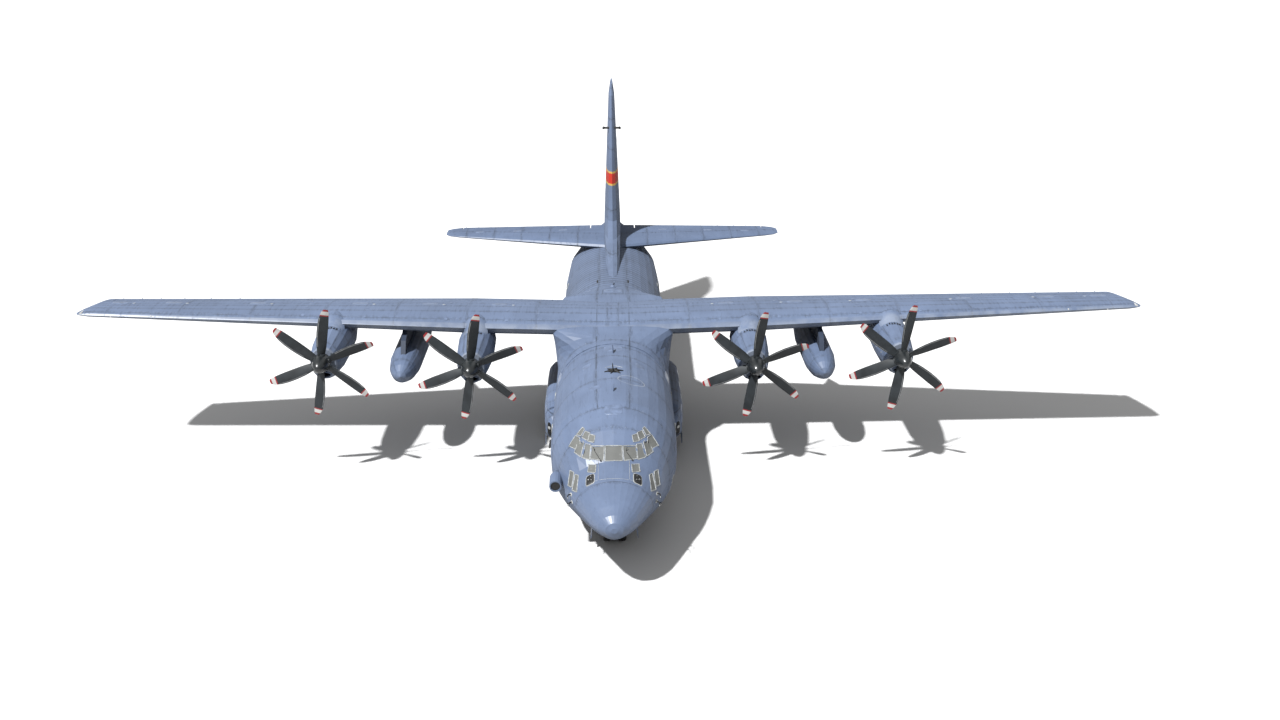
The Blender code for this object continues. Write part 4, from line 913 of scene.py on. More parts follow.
glass = Shape()
make_pane(glass, *CENTRE_PANE, 1)
for axis, corners in PANES:
    for side in (1, -1):
        make_pane(glass, axis, corners, side)
glass.piece("cockpit_panes", "airframe", [PANE, PANE_FRAME], "window_glass", 60)


def patch(shape, tree, centre, along, across, way, height=0.008, coat=0, square=6.0, steps=24):
    """A raised panel on the skin; square 2 makes it oval, more squares it off."""
    centre, along, across = Vector(centre), Vector(along), Vector(across)
    rings = []
    for share, rise in ((0.02, 1.0), (0.45, 1.0), (0.90, 1.0), (1.0, 0.35), (1.02, -0.5)):
        ring = []
        for turn in circle(steps, 0.5):
            c, s = math.cos(turn), math.sin(turn)
            size = (abs(c) ** square + abs(s) ** square) ** (-1.0 / square) * share
            spot, normal = reach(tree, centre + along * c * size + across * s * size, way)
            ring.append(spot + normal * height * rise)
        rings.append(ring)
    shape.loft(rings, coat)


def bead(shape, tree, points, way, radius, coat):
    """A thin raised line that follows the skin."""
    path = []
    for point in points:
        spot, normal = reach(tree, point, way)
        path.append(spot + normal * radius * 0.3)
    shape.tube(path, radius, 6, coat)


def turned_fitting(shape, tree, point, way, profile, steps, coats):
    """A turned form that stands on the skin where way meets it."""
    spot, normal = reach(tree, point, way)
    shape.turned(profile, spot, normal, steps, coats)


def blade_antenna(shape, tree, point, way, height, chord, coat, rake=0.35):
    """A thin swept fin that stands on the skin."""
    spot, normal = reach(tree, point, way)
    rings = []
    for share in (-0.1, 0.0, 0.35, 0.7, 0.92, 1.0):
        size = 1.0 - 0.45 * max(share, 0.0) - (0.15 if share == 1.0 else 0.0)
        base = spot + normal * height * share + Vector((0, chord * rake * max(share, 0.0), 0))
        wide = Vector((1, 0, 0)) if abs(normal.x) < 0.7 else Vector(UP)
        ring = []
        for turn in circle(12):
            ring.append(
                base + Vector((0, math.cos(turn) * chord / 2 * size, 0))
                + wide * math.sin(turn) * chord * 0.09 * size
            )
        rings.append(ring)
    shape.loft(rings, coat)


# Nose and crown
# The box of sensors on each side of the nose: how far out and how far aft
SENSOR_OUT = 0.755
SENSOR_AFT = 1.96
SCOOP_MOUTH = Vector((-1.90, 2.56, 2.66))

nose = Shape()
for side in (-1, 1):
    tip, normal = lift("Y", side, (0.40 if side > 0 else 0.62, 3.74))
    start, _ = lift("Y", side, (0.60 if side > 0 else 0.42, 3.535))
    out = Vector((0, -0.03, 0.02))
    nose.tube([start + out * 0.5, start.lerp(tip, 0.5) + out * 1.3, tip + out], 0.010, 6, 0)
    wide = Vector((0.03 * side, -0.012, 0.15))
    nose.tube([tip + out * 0.6 - wide, tip + out * 0.9, tip + out * 0.6 + wide], 0.009, 6, 0)
    nose.tube([start - out, start + out * 0.9], 0.030, 10, 0)

    centre = (side * SENSOR_OUT, SENSOR_AFT, OVER_BODY)
    patch(nose, SKIN, centre, (0.145, 0, 0), (0, 0.20, 0), DOWN, 0.012, 1, 6)
    patch(nose, SKIN, centre, (0.130, 0, 0), (0, 0.185, 0), DOWN, 0.020, 0, 6)
    for dx, dy, size in ((-0.045, -0.06, 0.038), (0.045, 0.00, 0.045), (-0.03, 0.09, 0.028)):
        dome = [(-0.02, size), (0.020, size), (0.038, size * 0.75), (0.048, size * 0.35), (0.050, 0.003)]
        place = (side * (SENSOR_OUT + dx), SENSOR_AFT + dy, OVER_BODY)
        turned_fitting(nose, SKIN, place, DOWN, dome, 14, [4, 4, 4, 2])
    for back, level in ((2.12, 2.56), (1.98, 2.36)):
        spot, normal = reach(SKIN, (side * 3.0, back, level), inward(side))
        knee = spot + normal * 0.10
        nose.tube([spot - normal * 0.03, spot + normal * 0.07, knee + Vector((0, -0.04, 0)),
                   knee + Vector((0, -0.20, 0))], 0.024, 8, 0, 0.7)
        nose.tube([knee + Vector((0, -0.19, 0)), knee + Vector((0, -0.25, 0))], 0.014, 8, 3)
        patch(nose, SKIN, (side * 3.0, back, level), (0, 0.085, 0), (0, 0, 0.055), inward(side),
              0.012, 3, 2)
    spot, normal = reach(SKIN, (side * 3.0, 2.62, 1.95), inward(side))
    nose.tube([spot, spot + normal * 0.07], 0.028, 10, 3, 0.6)
    nose.tube([spot + normal * 0.06, spot + normal * 0.06 + Vector((0, 0.14, 0.02))], 0.012, 6, 0)
edge = [(x, 2.62 + abs(x) * 0.10, OVER_BODY) for x in (-0.56, -0.38, -0.19, 0, 0.19, 0.38, 0.56)]
bead(nose, SKIN, edge, DOWN, 0.006, 3)
edge = [(x, 1.80 + abs(x) * 0.06, OVER_BODY) for x in (-0.60, -0.40, -0.20, 0, 0.20, 0.40, 0.60)]
bead(nose, SKIN, edge, DOWN, 0.005, 3)
for side in (-1, 1):
    edge = [(side * 0.50, 1.84 + 0.15 * i, OVER_BODY) for i in range(6)]
    bead(nose, SKIN, edge, DOWN, 0.005, 3)
# A black disc fills the scoop's mouth: painted shade for its dark inside
nose.turned([(-0.04, 0.13), (0.03, 0.149), (0.036, 0.10), (0.02, 0.003)], SCOOP_MOUTH, (0, -1, 0), 24,
            [0] * 3)
nose.piece("nose_fittings", "airframe", [BLACK, PANE_FRAME, LAMP, PALE, SPINNER_BLACK], "gear_steel")

# The middle of the star-shaped aerial: how far out and how far aft
STAR_OUT = 0.02
STAR_AFT = 7.12
# How far aft blade antennas stand on the crown, their height and their chord
CROWN_ANTENNAS = ((5.55, 0.20, 0.22), (8.95, 0.26, 0.30), (17.10, 0.22, 0.26))
# Panels: how far out and aft, then half their width and length
CROWN_PANELS = (
    (0.0, 4.35, 0.30, 0.26), (0.0, 9.35, 0.34, 0.28), (0.0, 16.05, 0.36, 0.30),
    (0.95, 8.05, 0.16, 0.22), (-0.95, 8.05, 0.16, 0.22), (-0.62, 5.9, 0.20, 0.14),
    (1.05, 16.6, 0.13, 0.20), (-1.05, 16.6, 0.13, 0.20),
)

top = Shape()
patch(top, SKIN, (STAR_OUT, STAR_AFT, OVER_BODY), (0.20, 0, 0), (0, 0.16, 0), DOWN, 0.014, 0, 2)
for turn in range(6):
    angle = math.radians(60 * turn + 12)
    spot, normal = reach(SKIN, (STAR_OUT, STAR_AFT, OVER_BODY), DOWN)
    out, aft = STAR_OUT + 0.34 * math.cos(angle), STAR_AFT + 0.26 * math.sin(angle)
    tip, _ = reach(SKIN, (out, aft, OVER_BODY), DOWN)
    top.tube([spot + normal * 0.04, tip + normal * 0.015], 0.050, 8, 0, 0.35)
blade_antenna(top, SKIN, (0.0, 7.10, OVER_BODY), DOWN, 0.24, 0.30, 0)
rim = []
for k in range(13):
    angle = 2 * math.pi * k / 24
    rim.append((STAR_OUT + 0.30 * math.cos(angle), 7.46 + 0.13 * math.sin(angle), OVER_BODY))
bead(top, SKIN, rim, DOWN, 0.007, 2)
for y, height, chord in CROWN_ANTENNAS:
    blade_antenna(top, SKIN, (0.0, y, OVER_BODY), DOWN, height, chord, 1)
for x, y, a, b in CROWN_PANELS:
    patch(top, SKIN, (x, y, OVER_BODY), (a, 0, 0), (0, b, 0), DOWN, 0.007, 1, 5)
for side in (-1, 1):
    patch(top, SKIN, (side * 0.66, 17.9, OVER_BODY), (0.035, 0, 0), (0, 0.22, 0), DOWN, 0.012, 0, 2)
dome = [(-0.02, 0.14), (0.02, 0.14), (0.03, 0.10), (0.06, 0.085), (0.075, 0.05), (0.08, 0.003)]
turned_fitting(top, SKIN, (0.0, 16.75, OVER_BODY), DOWN, dome, 20, [1] * 5)
top.piece("crown_fittings", "airframe", [BLACK, PAINT_TRIM, PALE], "grey_paint")

# Share of the chord where the flaps begin
FLAP_FRONT = 0.70

# Engines over the wing
# Fillet from the cowling to the wing: how far aft, half its width, and its rise
ENGINE_FILLET = (
    (10.90, 0.46, 0.02), (11.15, 0.47, 0.09), (11.38, 0.42, 0.12),
    (11.60, 0.33, 0.11), (11.78, 0.22, 0.07), (11.90, 0.10, 0.02),
)
for name, hub in ENGINES.items():
    hump = Shape()
    both = tree_of(f"nacelle_{name}", WING_OF[name])
    rings = []
    for y, half, rise in ENGINE_FILLET:
        ring = []
        for k in range(13):
            across = -1 + 2 * k / 12
            spot, normal = reach(both, (hub.x + across * half, y, OVER_WING), DOWN)
            ring.append(spot + Vector((0, 0, rise * (1 - across * across) - 0.006)))
        rings.append(ring)
    hump.loft(rings, 0, False, closed=False)
    for side in (-1, 1):
        for y in (11.5, 12.3, 13.2):
            spot, normal = reach(WING_SKIN, (hub.x + side * 1.15, y, OVER_WING), DOWN)
            hump.tube([spot - normal * 0.005, spot + normal * 0.008], 0.070, 16, 1)
    hump.piece(f"engine_fillet_{name}", "airframe", [WING_PAINT, PAINT_TRIM], "grey_paint", 60)

# Wing fittings
# How far out of the skin, and the radius there
FUEL_CAP = [(-0.01, 0.085), (0.006, 0.085), (0.008, 0.06), (0.014, 0.055), (0.016, 0.003)]
LANDING_LAMP = [(-0.02, 0.17), (0.012, 0.17), (0.016, 0.135), (0.05, 0.12), (0.07, 0.003)]
# How far out and aft the fuel caps lie
FUEL_CAPS = ((3.9, 13.0), (6.6, 12.9), (9.3, 12.8), (13.2, 12.6), (16.4, 12.5), (18.4, 12.4))
# How far out the fairings of the flap tracks lie, and how far ahead of the flap and below the
# skin each of their rings is, with its size
FLAP_TRACKS = (2.9, 5.0, 6.5, 9.3, 11.4)
TRACK_RINGS = ((1.30, 0.0, 0.02), (0.85, 0.07, 0.075), (0.35, 0.13, 0.085), (0.05, 0.10, 0.05))

wing = Shape()
for side in (-1, 1):
    for x, y in FUEL_CAPS:
        turned_fitting(wing, WING_SKIN, (side * x, y, OVER_WING), DOWN, FUEL_CAP, 18, [0, 0, 0, 1])
        patch(wing, WING_SKIN, (side * (x + 0.55), y + 0.1, OVER_WING), (0.30, 0, 0), (0, 0.19, 0),
              DOWN, 0.005, 0, 5)
        patch(wing, WING_SKIN, (side * (x + 0.3), y, UNDER_WING), (0.34, 0, 0), (0, 0.22, 0),
              UP, 0.006, 0, 5)
    for x in FLAP_TRACKS:
        chord = WING_CHORD - max(x - TAPER_START, 0.0) * WING_TAPER
        back = WING_FRONT + chord * FLAP_FRONT
        rings = []
        for ahead, drop, size in TRACK_RINGS:
            spot, _ = reach(WING_SKIN, (side * x, back - ahead, UNDER_WING), UP)
            centre = spot - Vector((0, 0, drop))
            rings.append([
                centre + Vector((math.cos(t) * size * 0.7, 0, math.sin(t) * size + 0.02))
                for t in circle(12)
            ])
        wing.loft(rings, 0)
    tip, normal = reach(WING_SKIN, (side * 20.02, 11.44, OVER_WING), DOWN)
    lamp = [tip + Vector((0, dy, -0.03)) for dy in (-0.16, -0.05, 0.10, 0.22)]
    wing.tube(lamp, 0.055, 12, 2, 0.7)
    wing.tube([point - Vector((0, 0, 0.02)) for point in lamp[1:3]], 0.046, 12, 3 if side > 0 else 4)
    for x in (17.4, 18.9):
        front, _ = reach(WING_SKIN, (side * x, -10.0, 5.62), (0, 1, 0))
        wing.tube([front + Vector((0, 0.02, 0)), front + Vector((0, -0.015, 0))], 0.035, 10, 2, 0.7)
    turned_fitting(wing, WING_SKIN, (side * 15.1, 12.25, UNDER_WING), UP, LANDING_LAMP, 24, [0, 0, 2, 2])
wing.piece("wing_fittings", "airframe", [PAINT_TRIM, PALE, LAMP, RED_LAMP, GREEN_LAMP], "grey_paint")


def make_wicks(name, node, spots):
    """Thin static dischargers along a trailing edge."""
    wicks = Shape()
    tree = tree_of(node)
    for x, y_far, z in spots:
        hit, _, _, _ = tree.ray_cast(Vector((x, y_far + 5.0, z)), Vector((0, -1, 0)))
        if hit is None:
            hit, _, _, _ = tree.find_nearest(Vector((x, y_far, z)))
        wicks.tube([hit + Vector((0, -0.10, 0.005)), hit + Vector((0, 0.02, 0.008))], 0.014, 6, 0)
        wicks.tube([hit + Vector((0, 0.0, 0.008)), hit + Vector((0, 0.24, 0.055))], 0.008, 6, 1)
    wicks.piece(name, node, [PAINT_TRIM, PALE], "grey_paint")


for tag, side in (("left", 1), ("right", -1)):
    spots = [(side * x, 13.6 + (19.4 - x) * 0.154, 5.52 - (19.4 - x) * 0.045)
             for x in (19.3, 18.6, 17.9, 17.0, 16.0, 14.9)]
    make_wicks(f"aileron_wicks_{tag}", f"aileron_{tag}", spots)
    spots = [(side * x, 26.85 + (7.3 - x) * 0.06, 4.86) for x in (7.2, 6.6, 6.0, 5.2)]
    make_wicks(f"elevator_wicks_{tag}", f"elevator_{tag}", spots)
spots = [(0.0, 28.9 - (z - 6.0) * 0.02, z) for z in (7.0, 8.2, 9.4, 10.4, 11.0)]
make_wicks("rudder_wicks", "rudder", spots)

# Tail fittings
tail = Shape()
front, _ = reach(FIN_SKIN, (0.0, -10.0, 10.0), (0, 1, 0))
bar = front + Vector((0, 0.20, 0))
tail.tube([bar + Vector((-0.38, 0.02, 0)), bar, bar + Vector((0.38, 0.02, 0))], 0.050, 10, 0)
for side in (-1, 1):
    end = bar + Vector((side * 0.38, 0.02, 0))
    tail.tube([end + Vector((0, -0.09, 0)), end, end + Vector((0, 0.11, 0))], 0.060, 10, 0, 0.8)
front, _ = reach(FIN_SKIN, (0.0, -10.0, 10.9), (0, 1, 0))
tail.tube([front + Vector((0, 0.10, 0)), front + Vector((0, -0.06, 0.0))], 0.03, 10, 1, 0.6)
spot, _ = reach(FIN_SKIN, (0.0, 27.6, 14.0), DOWN)
tail.turned([(-0.04, 0.055), (-0.02, 0.055), (-0.015, 0.004)], spot, UP, 14, [2, 2])
for side in (-1, 1):
    for z, y in ((7.0, 25.3), (9.3, 26.3)):
        patch(tail, FIN_SKIN, (side * 3.0, y, z), (0, 0.20, 0), (0, 0, 0.14), inward(side), 0.006, 1, 5)
    tree = tree_of("tailplane")
    for x in (2.4, 4.6, 6.4):
        patch(tail, tree, (side * x, 25.4, OVER_WING), (0.20, 0, 0), (0, 0.12, 0), DOWN, 0.005, 1, 5)
        patch(tail, tree, (side * x, 25.5, UNDER_WING), (0.22, 0, 0), (0, 0.12, 0), UP, 0.005, 1, 5)
rear, normal = reach(SKIN, (0.0, 40.0, 4.38), (0, -1, 0))
tail.turned([(-0.03, 0.06), (-0.008, 0.06), (-0.004, 0.05), (0.0, 0.003)], rear, (0, 1, 0), 14,
            [1, 3, 3])
tail.piece("tail_fittings", "airframe", [BLACK, PAINT_TRIM, RED_LAMP, LAMP], "grey_paint")

# Sides and belly
# A round window: how far out of the skin, and the radius there, from its rim to its middle
PORTHOLE = [(-0.02, 0.165), (0.014, 0.165), (0.014, 0.125), (0.002, 0.120), (0.001, 0.003)]
SIDE_SKIN = tree_of("sponson_left", "sponson_right", "centre_fuselage", "forward_fuselage",
                    "aft_fuselage", "flight_deck_shell")
# How far aft and how high the round windows lie
SIDE_WINDOWS = ((6.1, 3.12), (9.0, 3.12), (17.55, 3.35), (20.9, 3.62))
# Panels: how far aft and how high, then half their length and height
SIDE_PANELS = (
    (7.5, 2.0, 0.45, 0.30), (8.6, 1.35, 0.30, 0.22), (5.6, 1.5, 0.26, 0.20),
    (16.4, 2.6, 0.34, 0.26), (9.6, 3.6, 0.40, 0.16), (21.9, 3.5, 0.30, 0.20),
)
# Panels: how far out and aft, then half their width and length
BELLY_PANELS = (
    (0.5, 5.6, 0.26, 0.34), (-0.6, 7.2, 0.30, 0.30), (0.6, 8.8, 0.28, 0.36),
    (-0.4, 9.9, 0.36, 0.22), (0.0, 16.2, 0.50, 0.28),
)
# How far aft blade antennas hang under the belly, and their height
BELLY_ANTENNAS = ((6.6, 0.22), (7.9, 0.26), (10.2, 0.18), (15.8, 0.20))
# How far aft the sponsons' hatches lie
SPONSON_HATCHES = (10.6, 11.6, 12.9, 14.3, 15.2)
# The middle of the lamp on each sponson's front: how far out and how high
SPONSON_LAMP_OUT = 2.42
SPONSON_LAMP_HIGH = 1.48

sides = Shape()
for side in (-1, 1):
    for y, z in SIDE_WINDOWS:
        place = (side * 2.0, y, z)
        turned_fitting(sides, SKIN, place, inward(side), PORTHOLE, 24, [1, 1, 1, 2])
    for y, z, a, b in SIDE_PANELS:
        patch(sides, SKIN, (side * 3.0, y, z), (0, a, 0), (0, 0, b), inward(side), 0.007, 0, 5)
    middle = (side * SPONSON_LAMP_OUT, 1.0, SPONSON_LAMP_HIGH)
    # The black panel is painted shade for the dark opening round the lamp. This panel is drawn twice in
    # the same place, and looks darker for it
    for _ in range(2):
        patch(sides, SIDE_SKIN, middle, (0.085, 0, 0), (0, 0, 0.34), (0, 1, 0), 0.020, 3, 3)
    patch(sides, SIDE_SKIN, middle, (0.105, 0, 0), (0, 0, 0.375), (0, 1, 0), 0.012, 0, 3)
    bulb = (side * SPONSON_LAMP_OUT, 1.0, 1.60)
    patch(sides, SIDE_SKIN, bulb, (0.050, 0, 0), (0, 0, 0.06), (0, 1, 0), 0.034, 4, 2)
    for y in SPONSON_HATCHES:
        patch(sides, SIDE_SKIN, (side * 4.0, y, 1.75), (0, 0.36, 0), (0, 0, 0.30), inward(side),
              0.007, 0, 6)
    for i in range(5):
        bead(sides, SIDE_SKIN, [(side * 4.0, 15.02 + 0.09 * j, 1.30 + 0.06 * i) for j in range(5)],
             inward(side), 0.010, 3)
    for y in (11.55, 14.45):
        low, high = (side * 2.655, y - 0.40, 0.22), (side * 2.685, y + 0.40, 0.66)
        sides.block(
            [min(a, b) for a, b in zip(low, high)], [max(a, b) for a, b in zip(low, high)], 0, 0.3
        )
        sides.tube([(side * 2.66, y - 0.3, 0.62), (side * 2.60, y - 0.2, 0.72)], 0.022, 8, 4)
        sides.tube([(side * 2.66, y + 0.3, 0.62), (side * 2.60, y + 0.2, 0.72)], 0.022, 8, 4)
for y, height in BELLY_ANTENNAS:
    blade_antenna(sides, SKIN, (0.0, y, UNDER_BODY), UP, height, 0.26, 0)
for x, y, a, b in BELLY_PANELS:
    patch(sides, SKIN, (x, y, UNDER_BODY), (a, 0, 0), (0, b, 0), UP, 0.006, 0, 5)
beacon = [(-0.02, 0.10), (0.02, 0.10), (0.03, 0.07), (0.10, 0.06), (0.12, 0.003)]
turned_fitting(sides, SKIN, (0.0, 9.2, UNDER_BODY), UP, beacon, 20, [0, 0, 5, 5])
sides.piece("side_fittings", "airframe", [PAINT_TRIM, PANE_FRAME, PANE, BLACK, PALE, RED_LAMP],
            "grey_paint")

# Landing gear
gear = Shape()
for side in (-1, 1):
    for y in (12.22, 13.76):
        x = side * 2.535
        gear.turned([(0, 0.060), (0, 0.085), (0.05, 0.085), (0.06, 0.072), (0.34, 0.072), (0.35, 0.09),
                     (0.42, 0.09), (0.42, 0.060)], (x, y, 0.90), UP, 20, [0, 0, 0, 1, 0, 0, 0])
        for lean in (-1, 1):
            gear.tube([(x, y + lean * 0.10, 0.95), (x - side * 0.005, y + lean * 0.24, 1.12),
                       (x, y + lean * 0.11, 1.30)], 0.018, 8, 0)
        gear.tube([(x + side * 0.075, y, 0.80), (x + side * 0.085, y + 0.03, 1.05),
                   (x + side * 0.075, y + 0.02, 1.40)], 0.010, 6, 2)
    gear.tube([(side * 2.535, 12.30, 1.28), (side * 2.545, 12.99, 1.02), (side * 2.535, 13.68, 1.28)],
              0.026, 10, 0)
low, high = (full(corner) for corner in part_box("nose_gear_leg"))
leg = (low + high) / 2
for side in (-1, 1):
    gear.tube([(side * 0.09, leg.y, 1.18), (side * 0.22, leg.y + 0.42, 1.45)], 0.020, 8, 0)
    gear.tube([(side * 0.11, leg.y - 0.05, 1.05), (side * 0.12, leg.y - 0.06, 1.45)], 0.009, 6, 2)
    door = [(side * 0.71, 3.06, 0.90), (side * 0.78, 3.06, 0.45), (side * 0.80, 3.06, 0.45),
            (side * 0.73, 3.06, 0.90)]
    gear.loft([[Vector(p) + Vector((0, along, 0)) for p in door] for along in
               (0.0, 0.06, 0.75, 0.80, 0.85, 1.56, 1.62)], 3)
    for y in (3.25, 3.85, 4.45):
        gear.tube([(side * 0.69, y, 0.92), (side * 0.735, y, 0.80)], 0.022, 8, 0)
gear.tube([(0.0, leg.y - 0.14, 1.30), (0.0, leg.y - 0.17, 1.33)], 0.065, 16, 4, 0.9)
gear.tube([(0.0, leg.y - 0.08, 1.30), (0.0, leg.y - 0.145, 1.30)], 0.072, 16, 2)
gear.piece("gear_fittings", "airframe", [STEEL, CHROME, BLACK, PAINT_TRIM, LAMP], "gear_steel")

fork = Shape()
for side in (-1, 1):
    fork.tube([(side * 0.07, NOSE_AXLE.y - 0.09, 0.62), (side * 0.055, NOSE_AXLE.y - 0.25, 0.78),
               (side * 0.05, NOSE_AXLE.y - 0.10, 0.96)], 0.020, 8, 0)
fork.turned([(0, 0.075), (0.04, 0.095), (0.06, 0.095), (0.07, 0.070), (0.20, 0.070)],
            (0, NOSE_AXLE.y, 0.60), UP, 20, [0, 0, 0, 1])
fork.piece("nose_fork_fittings", "nose_gear_steering", [STEEL, CHROME], "gear_steel")

# Doors
for tag, side in (("left", 1), ("right", -1)):
    door = Shape()
    low, high = (full(corner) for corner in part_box(f"paratroop_door_{tag}"))
    tree = tree_of(f"paratroop_door_{tag}")
    centre = (low + high) / 2
    place = (side * 4.0, centre.y, high.z - 0.45)
    turned_fitting(door, tree, place, inward(side), PORTHOLE, 24, [0, 0, 0, 1])
    for z in (low.z + 0.35, centre.z):
        patch(door, tree, (side * 4.0, centre.y, z), (0, 0.30, 0), (0, 0, 0.12), inward(side), 0.007, 2, 6)
    grip, normal = reach(tree, (side * 4.0, low.y + 0.16, centre.z + 0.1), inward(side))
    door.tube([grip - normal * 0.01, grip + normal * 0.035, grip + normal * 0.035 + Vector((0, 0.16, 0)),
               grip + Vector((0, 0.17, 0)) - normal * 0.01], 0.011, 6, 3)
    door.piece(f"paratroop_door_fittings_{tag}", "airframe", [PANE_FRAME, PANE, PAINT_TRIM, PALE],
               "grey_paint")

stair = Shape()
tree = tree_of("crew_door")
low, high = (full(corner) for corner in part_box("crew_door"))
centre = (low + high) / 2
patch(stair, tree, (4.0, centre.y, high.z - 0.42), (0, 0.16, 0), (0, 0, 0.16), (-1, 0, 0), 0.010, 0, 2)
patch(stair, tree, (4.0, centre.y, high.z - 0.42), (0, 0.12, 0), (0, 0, 0.12), (-1, 0, 0), 0.014, 1, 2)
patch(stair, tree, (4.0, centre.y, centre.z - 0.05), (0, 0.25, 0), (0, 0, 0.10), (-1, 0, 0), 0.007, 2, 6)
for i in range(4):
    spot, _ = reach(tree, (-6.0, centre.y, low.z + 0.30 + 0.32 * i), (1, 0, 0))
    step = [spot + Vector((-0.05, dy, 0)) for dy in (-0.26, 0.0, 0.26)]
    stair.tube(step, 0.030, 8, 3)
    for dy in (-0.26, 0.26):
        stair.tube([spot + Vector((-0.05, dy, 0)), spot + Vector((0.03, dy, -0.04))], 0.016, 6, 3)
stair.piece("crew_door_fittings", "crew_door", [PANE_FRAME, PANE, PAINT_TRIM, PALE], "grey_paint")

# Hold and flight deck
def tie_ring(x, y, z, slope=0.0):
    """Points round a tie-down ring that lies on a floor rising by slope towards the tail."""
    ring = []
    for k in range(13):
        dy = 0.05 * math.sin(k * math.pi / 6)
        ring.append((x + 0.06 * math.cos(k * math.pi / 6), y + dy, z + dy * slope))
    return ring


# The hold's ribs, seats and tie rings: the first one's place, the pitch and how many
RIBS = [5.4 + 0.62 * i for i in range(19)]
SEATS = [5.8 + 0.66 * i for i in range(16)]
TIE_RINGS = [5.3 + 0.48 * i for i in range(24)]
# Height that the hold's section is measured from, and the furthest a rib can be from it
HOLD_MIDDLE = 2.5
RIB_REACH = 3.2

hold = Shape()
for y in RIBS:
    for side in (-1, 1):
        path = []
        for degrees in range(-25, 92, 9):
            angle = math.radians(degrees)
            way = Vector((side * math.cos(angle), 0, math.sin(angle)))
            middle = Vector((0, y, HOLD_MIDDLE))
            hit, _, _, _ = SKIN.ray_cast(middle, way)
            if hit is not None and (hit - middle).length < RIB_REACH:
                path.append(hit - way * 0.045)
        if len(path) > 4:
            hold.tube(path, 0.030, 4, 0)
for side in (-1, 1):
    hold.tube([(side * 1.82, y, 1.48) for y in (5.5, 8.0, 11.0, 14.0, 16.6)], 0.022, 6, 2)
    for y in SEATS:
        near, far = sorted((side * 1.38, side * 1.82))
        hold.block((near, y, 1.44), (far, y + 0.52, 1.47), 1)
        hold.tube([(side * 1.40, y + 0.26, 1.45), (side * 1.42, y + 0.26, 1.06)], 0.014, 6, 2)
    for y in TIE_RINGS:
        for x in (0.45, 0.95):
            hold.tube(tie_ring(side * x, y, 1.036), 0.007, 5, 2)
    near, far = sorted((side * 0.66, side * 0.74))
    hold.block((near, 5.2, 1.032), (far, 16.8, 1.060), 2)
hold.piece("hold_fittings", "airframe", [PRIMER, SEAT_RED, STEEL], "floor_metal")

rings = Shape()
# The ramp's floor: its front and rear edges, aft from the nose tip and up
RAMP_FRONT = (17.02, 1.03)
RAMP_REAR = (19.939, 1.76)
slope = (RAMP_REAR[1] - RAMP_FRONT[1]) / (RAMP_REAR[0] - RAMP_FRONT[0])
for y in [17.5 + 0.42 * i for i in range(6)]:
    for x in (-1.0, -0.4, 0.4, 1.0):
        z = RAMP_FRONT[1] + (y - RAMP_FRONT[0]) * slope + 0.010
        rings.tube(tie_ring(x, y, z, slope), 0.007, 5, 0)
rings.piece("ramp_tie_rings", "cargo_ramp", [STEEL], "floor_metal")

deck = Shape()
for side in (-1, 1):
    x = side * 0.75
    deck.block((x - 0.24, 3.24, 2.50), (x + 0.24, 3.64, 2.57), 0, 0.3)
    deck.block((x - 0.22, 3.60, 2.60), (x + 0.22, 3.655, 3.18), 0, 0.3)
    deck.tube([(x, 2.78, 2.05), (x, 2.84, 2.50), (x, 2.92, 2.78)], 0.022, 8, 1)
    deck.tube([(x - 0.14, 2.93, 2.88), (x - 0.11, 2.92, 2.78), (x + 0.11, 2.92, 2.78),
               (x + 0.14, 2.93, 2.88)], 0.016, 8, 1)
    for dx in (-0.30, 0.0, 0.30):
        deck.block((x + dx - 0.11, 2.735, 3.02), (x + dx + 0.11, 2.775, 3.20), 1, 0.2)
deck.block((-0.22, 2.95, 2.05), (0.22, 3.40, 2.48), 2, 0.15)
for i in range(4):
    deck.tube([(-0.12 + 0.08 * i, 3.05, 2.48), (-0.12 + 0.08 * i, 3.02, 2.60)], 0.012, 6, 1)
deck.piece("flight_deck_fittings", "airframe", [DECK, BLACK, PRIMER], "floor_metal")


# Camera, light, floor
CAMERA_PLACE = (0.057, -34.988, 21.242)
CAMERA_YAW = 1.203
CAMERA_PITCH = 20.776
CAMERA_ROLL = -0.053
CAMERA_LENS = 36.159


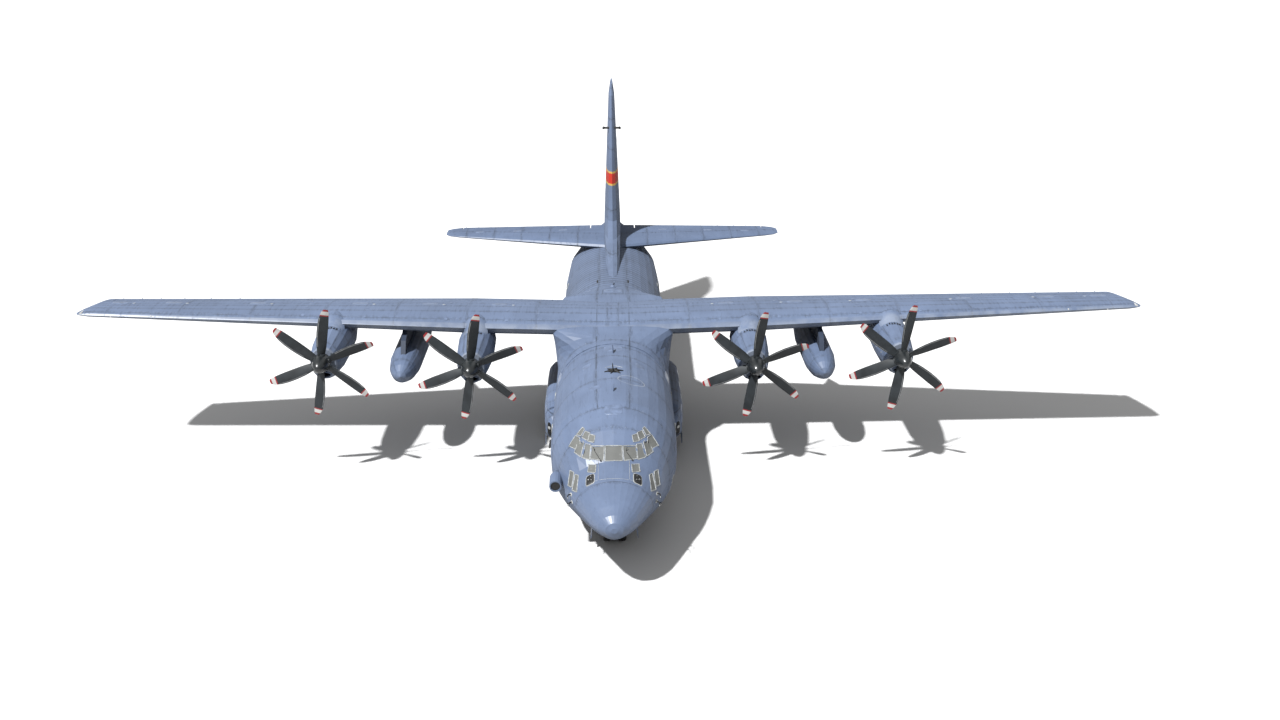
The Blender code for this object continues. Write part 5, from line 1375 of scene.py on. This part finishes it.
def make_camera():
    data = bpy.data.cameras.new("photo_camera")
    data.lens = CAMERA_LENS
    data.sensor_width = 36.0
    data.clip_end = 500.0
    camera = bpy.data.objects.new("photo_camera", data)
    camera.location = put(CAMERA_PLACE)
    turn = Matrix.Rotation(math.radians(-CAMERA_YAW), 4, "Z")
    tip = Matrix.Rotation(math.radians(90 - CAMERA_PITCH), 4, "X")
    roll = Matrix.Rotation(math.radians(CAMERA_ROLL), 4, "Z")
    camera.rotation_euler = (turn @ tip @ roll).to_euler()
    bpy.context.scene.collection.objects.link(camera)
    bpy.context.scene.camera = camera


SUN_WAY = (0.46, 0.457, -1.0)
SUN_STRENGTH = 9.2
SUN_SIZE = 2.0
SKY_LIGHT = 0.60


def make_light():
    data = bpy.data.lights.new("key_light", "SUN")
    data.energy = SUN_STRENGTH
    data.angle = math.radians(SUN_SIZE)
    sun = bpy.data.objects.new("key_light", data)
    sun.rotation_euler = Vector(SUN_WAY).to_track_quat("-Z", "Y").to_euler()
    bpy.context.scene.collection.objects.link(sun)
    world = bpy.data.worlds.new("studio")
    world.use_nodes = True
    background = world.node_tree.nodes["Background"]
    background.inputs["Color"].default_value = (1.0, 1.0, 1.0, 1.0)
    background.inputs["Strength"].default_value = SKY_LIGHT
    bpy.context.scene.world = world
    bpy.context.scene.view_settings.view_transform = "Standard"


FLOOR_TONE = (1.25, 1.25, 1.25)


def make_floor():
    finish = Finish("studio_floor", specular=0.2)
    clouds = finish.noise(9.0, detail=3.0)
    tone = finish.mix(clouds, FLOOR_TONE, shade(FLOOR_TONE, 1.04))
    material = finish.wear(tone, 0.85 + clouds * 0.1)
    size = 260.0
    mesh = bpy.data.meshes.new("studio_floor")
    mesh.from_pydata(
        [(-size, -size, 0), (size, -size, 0), (size, size, 0), (-size, size, 0)], [], [(0, 1, 2, 3)]
    )
    mesh.materials.append(material)
    floor = bpy.data.objects.new("studio_floor", mesh)
    bpy.context.scene.collection.objects.link(floor)


make_camera()
make_light()
make_floor()
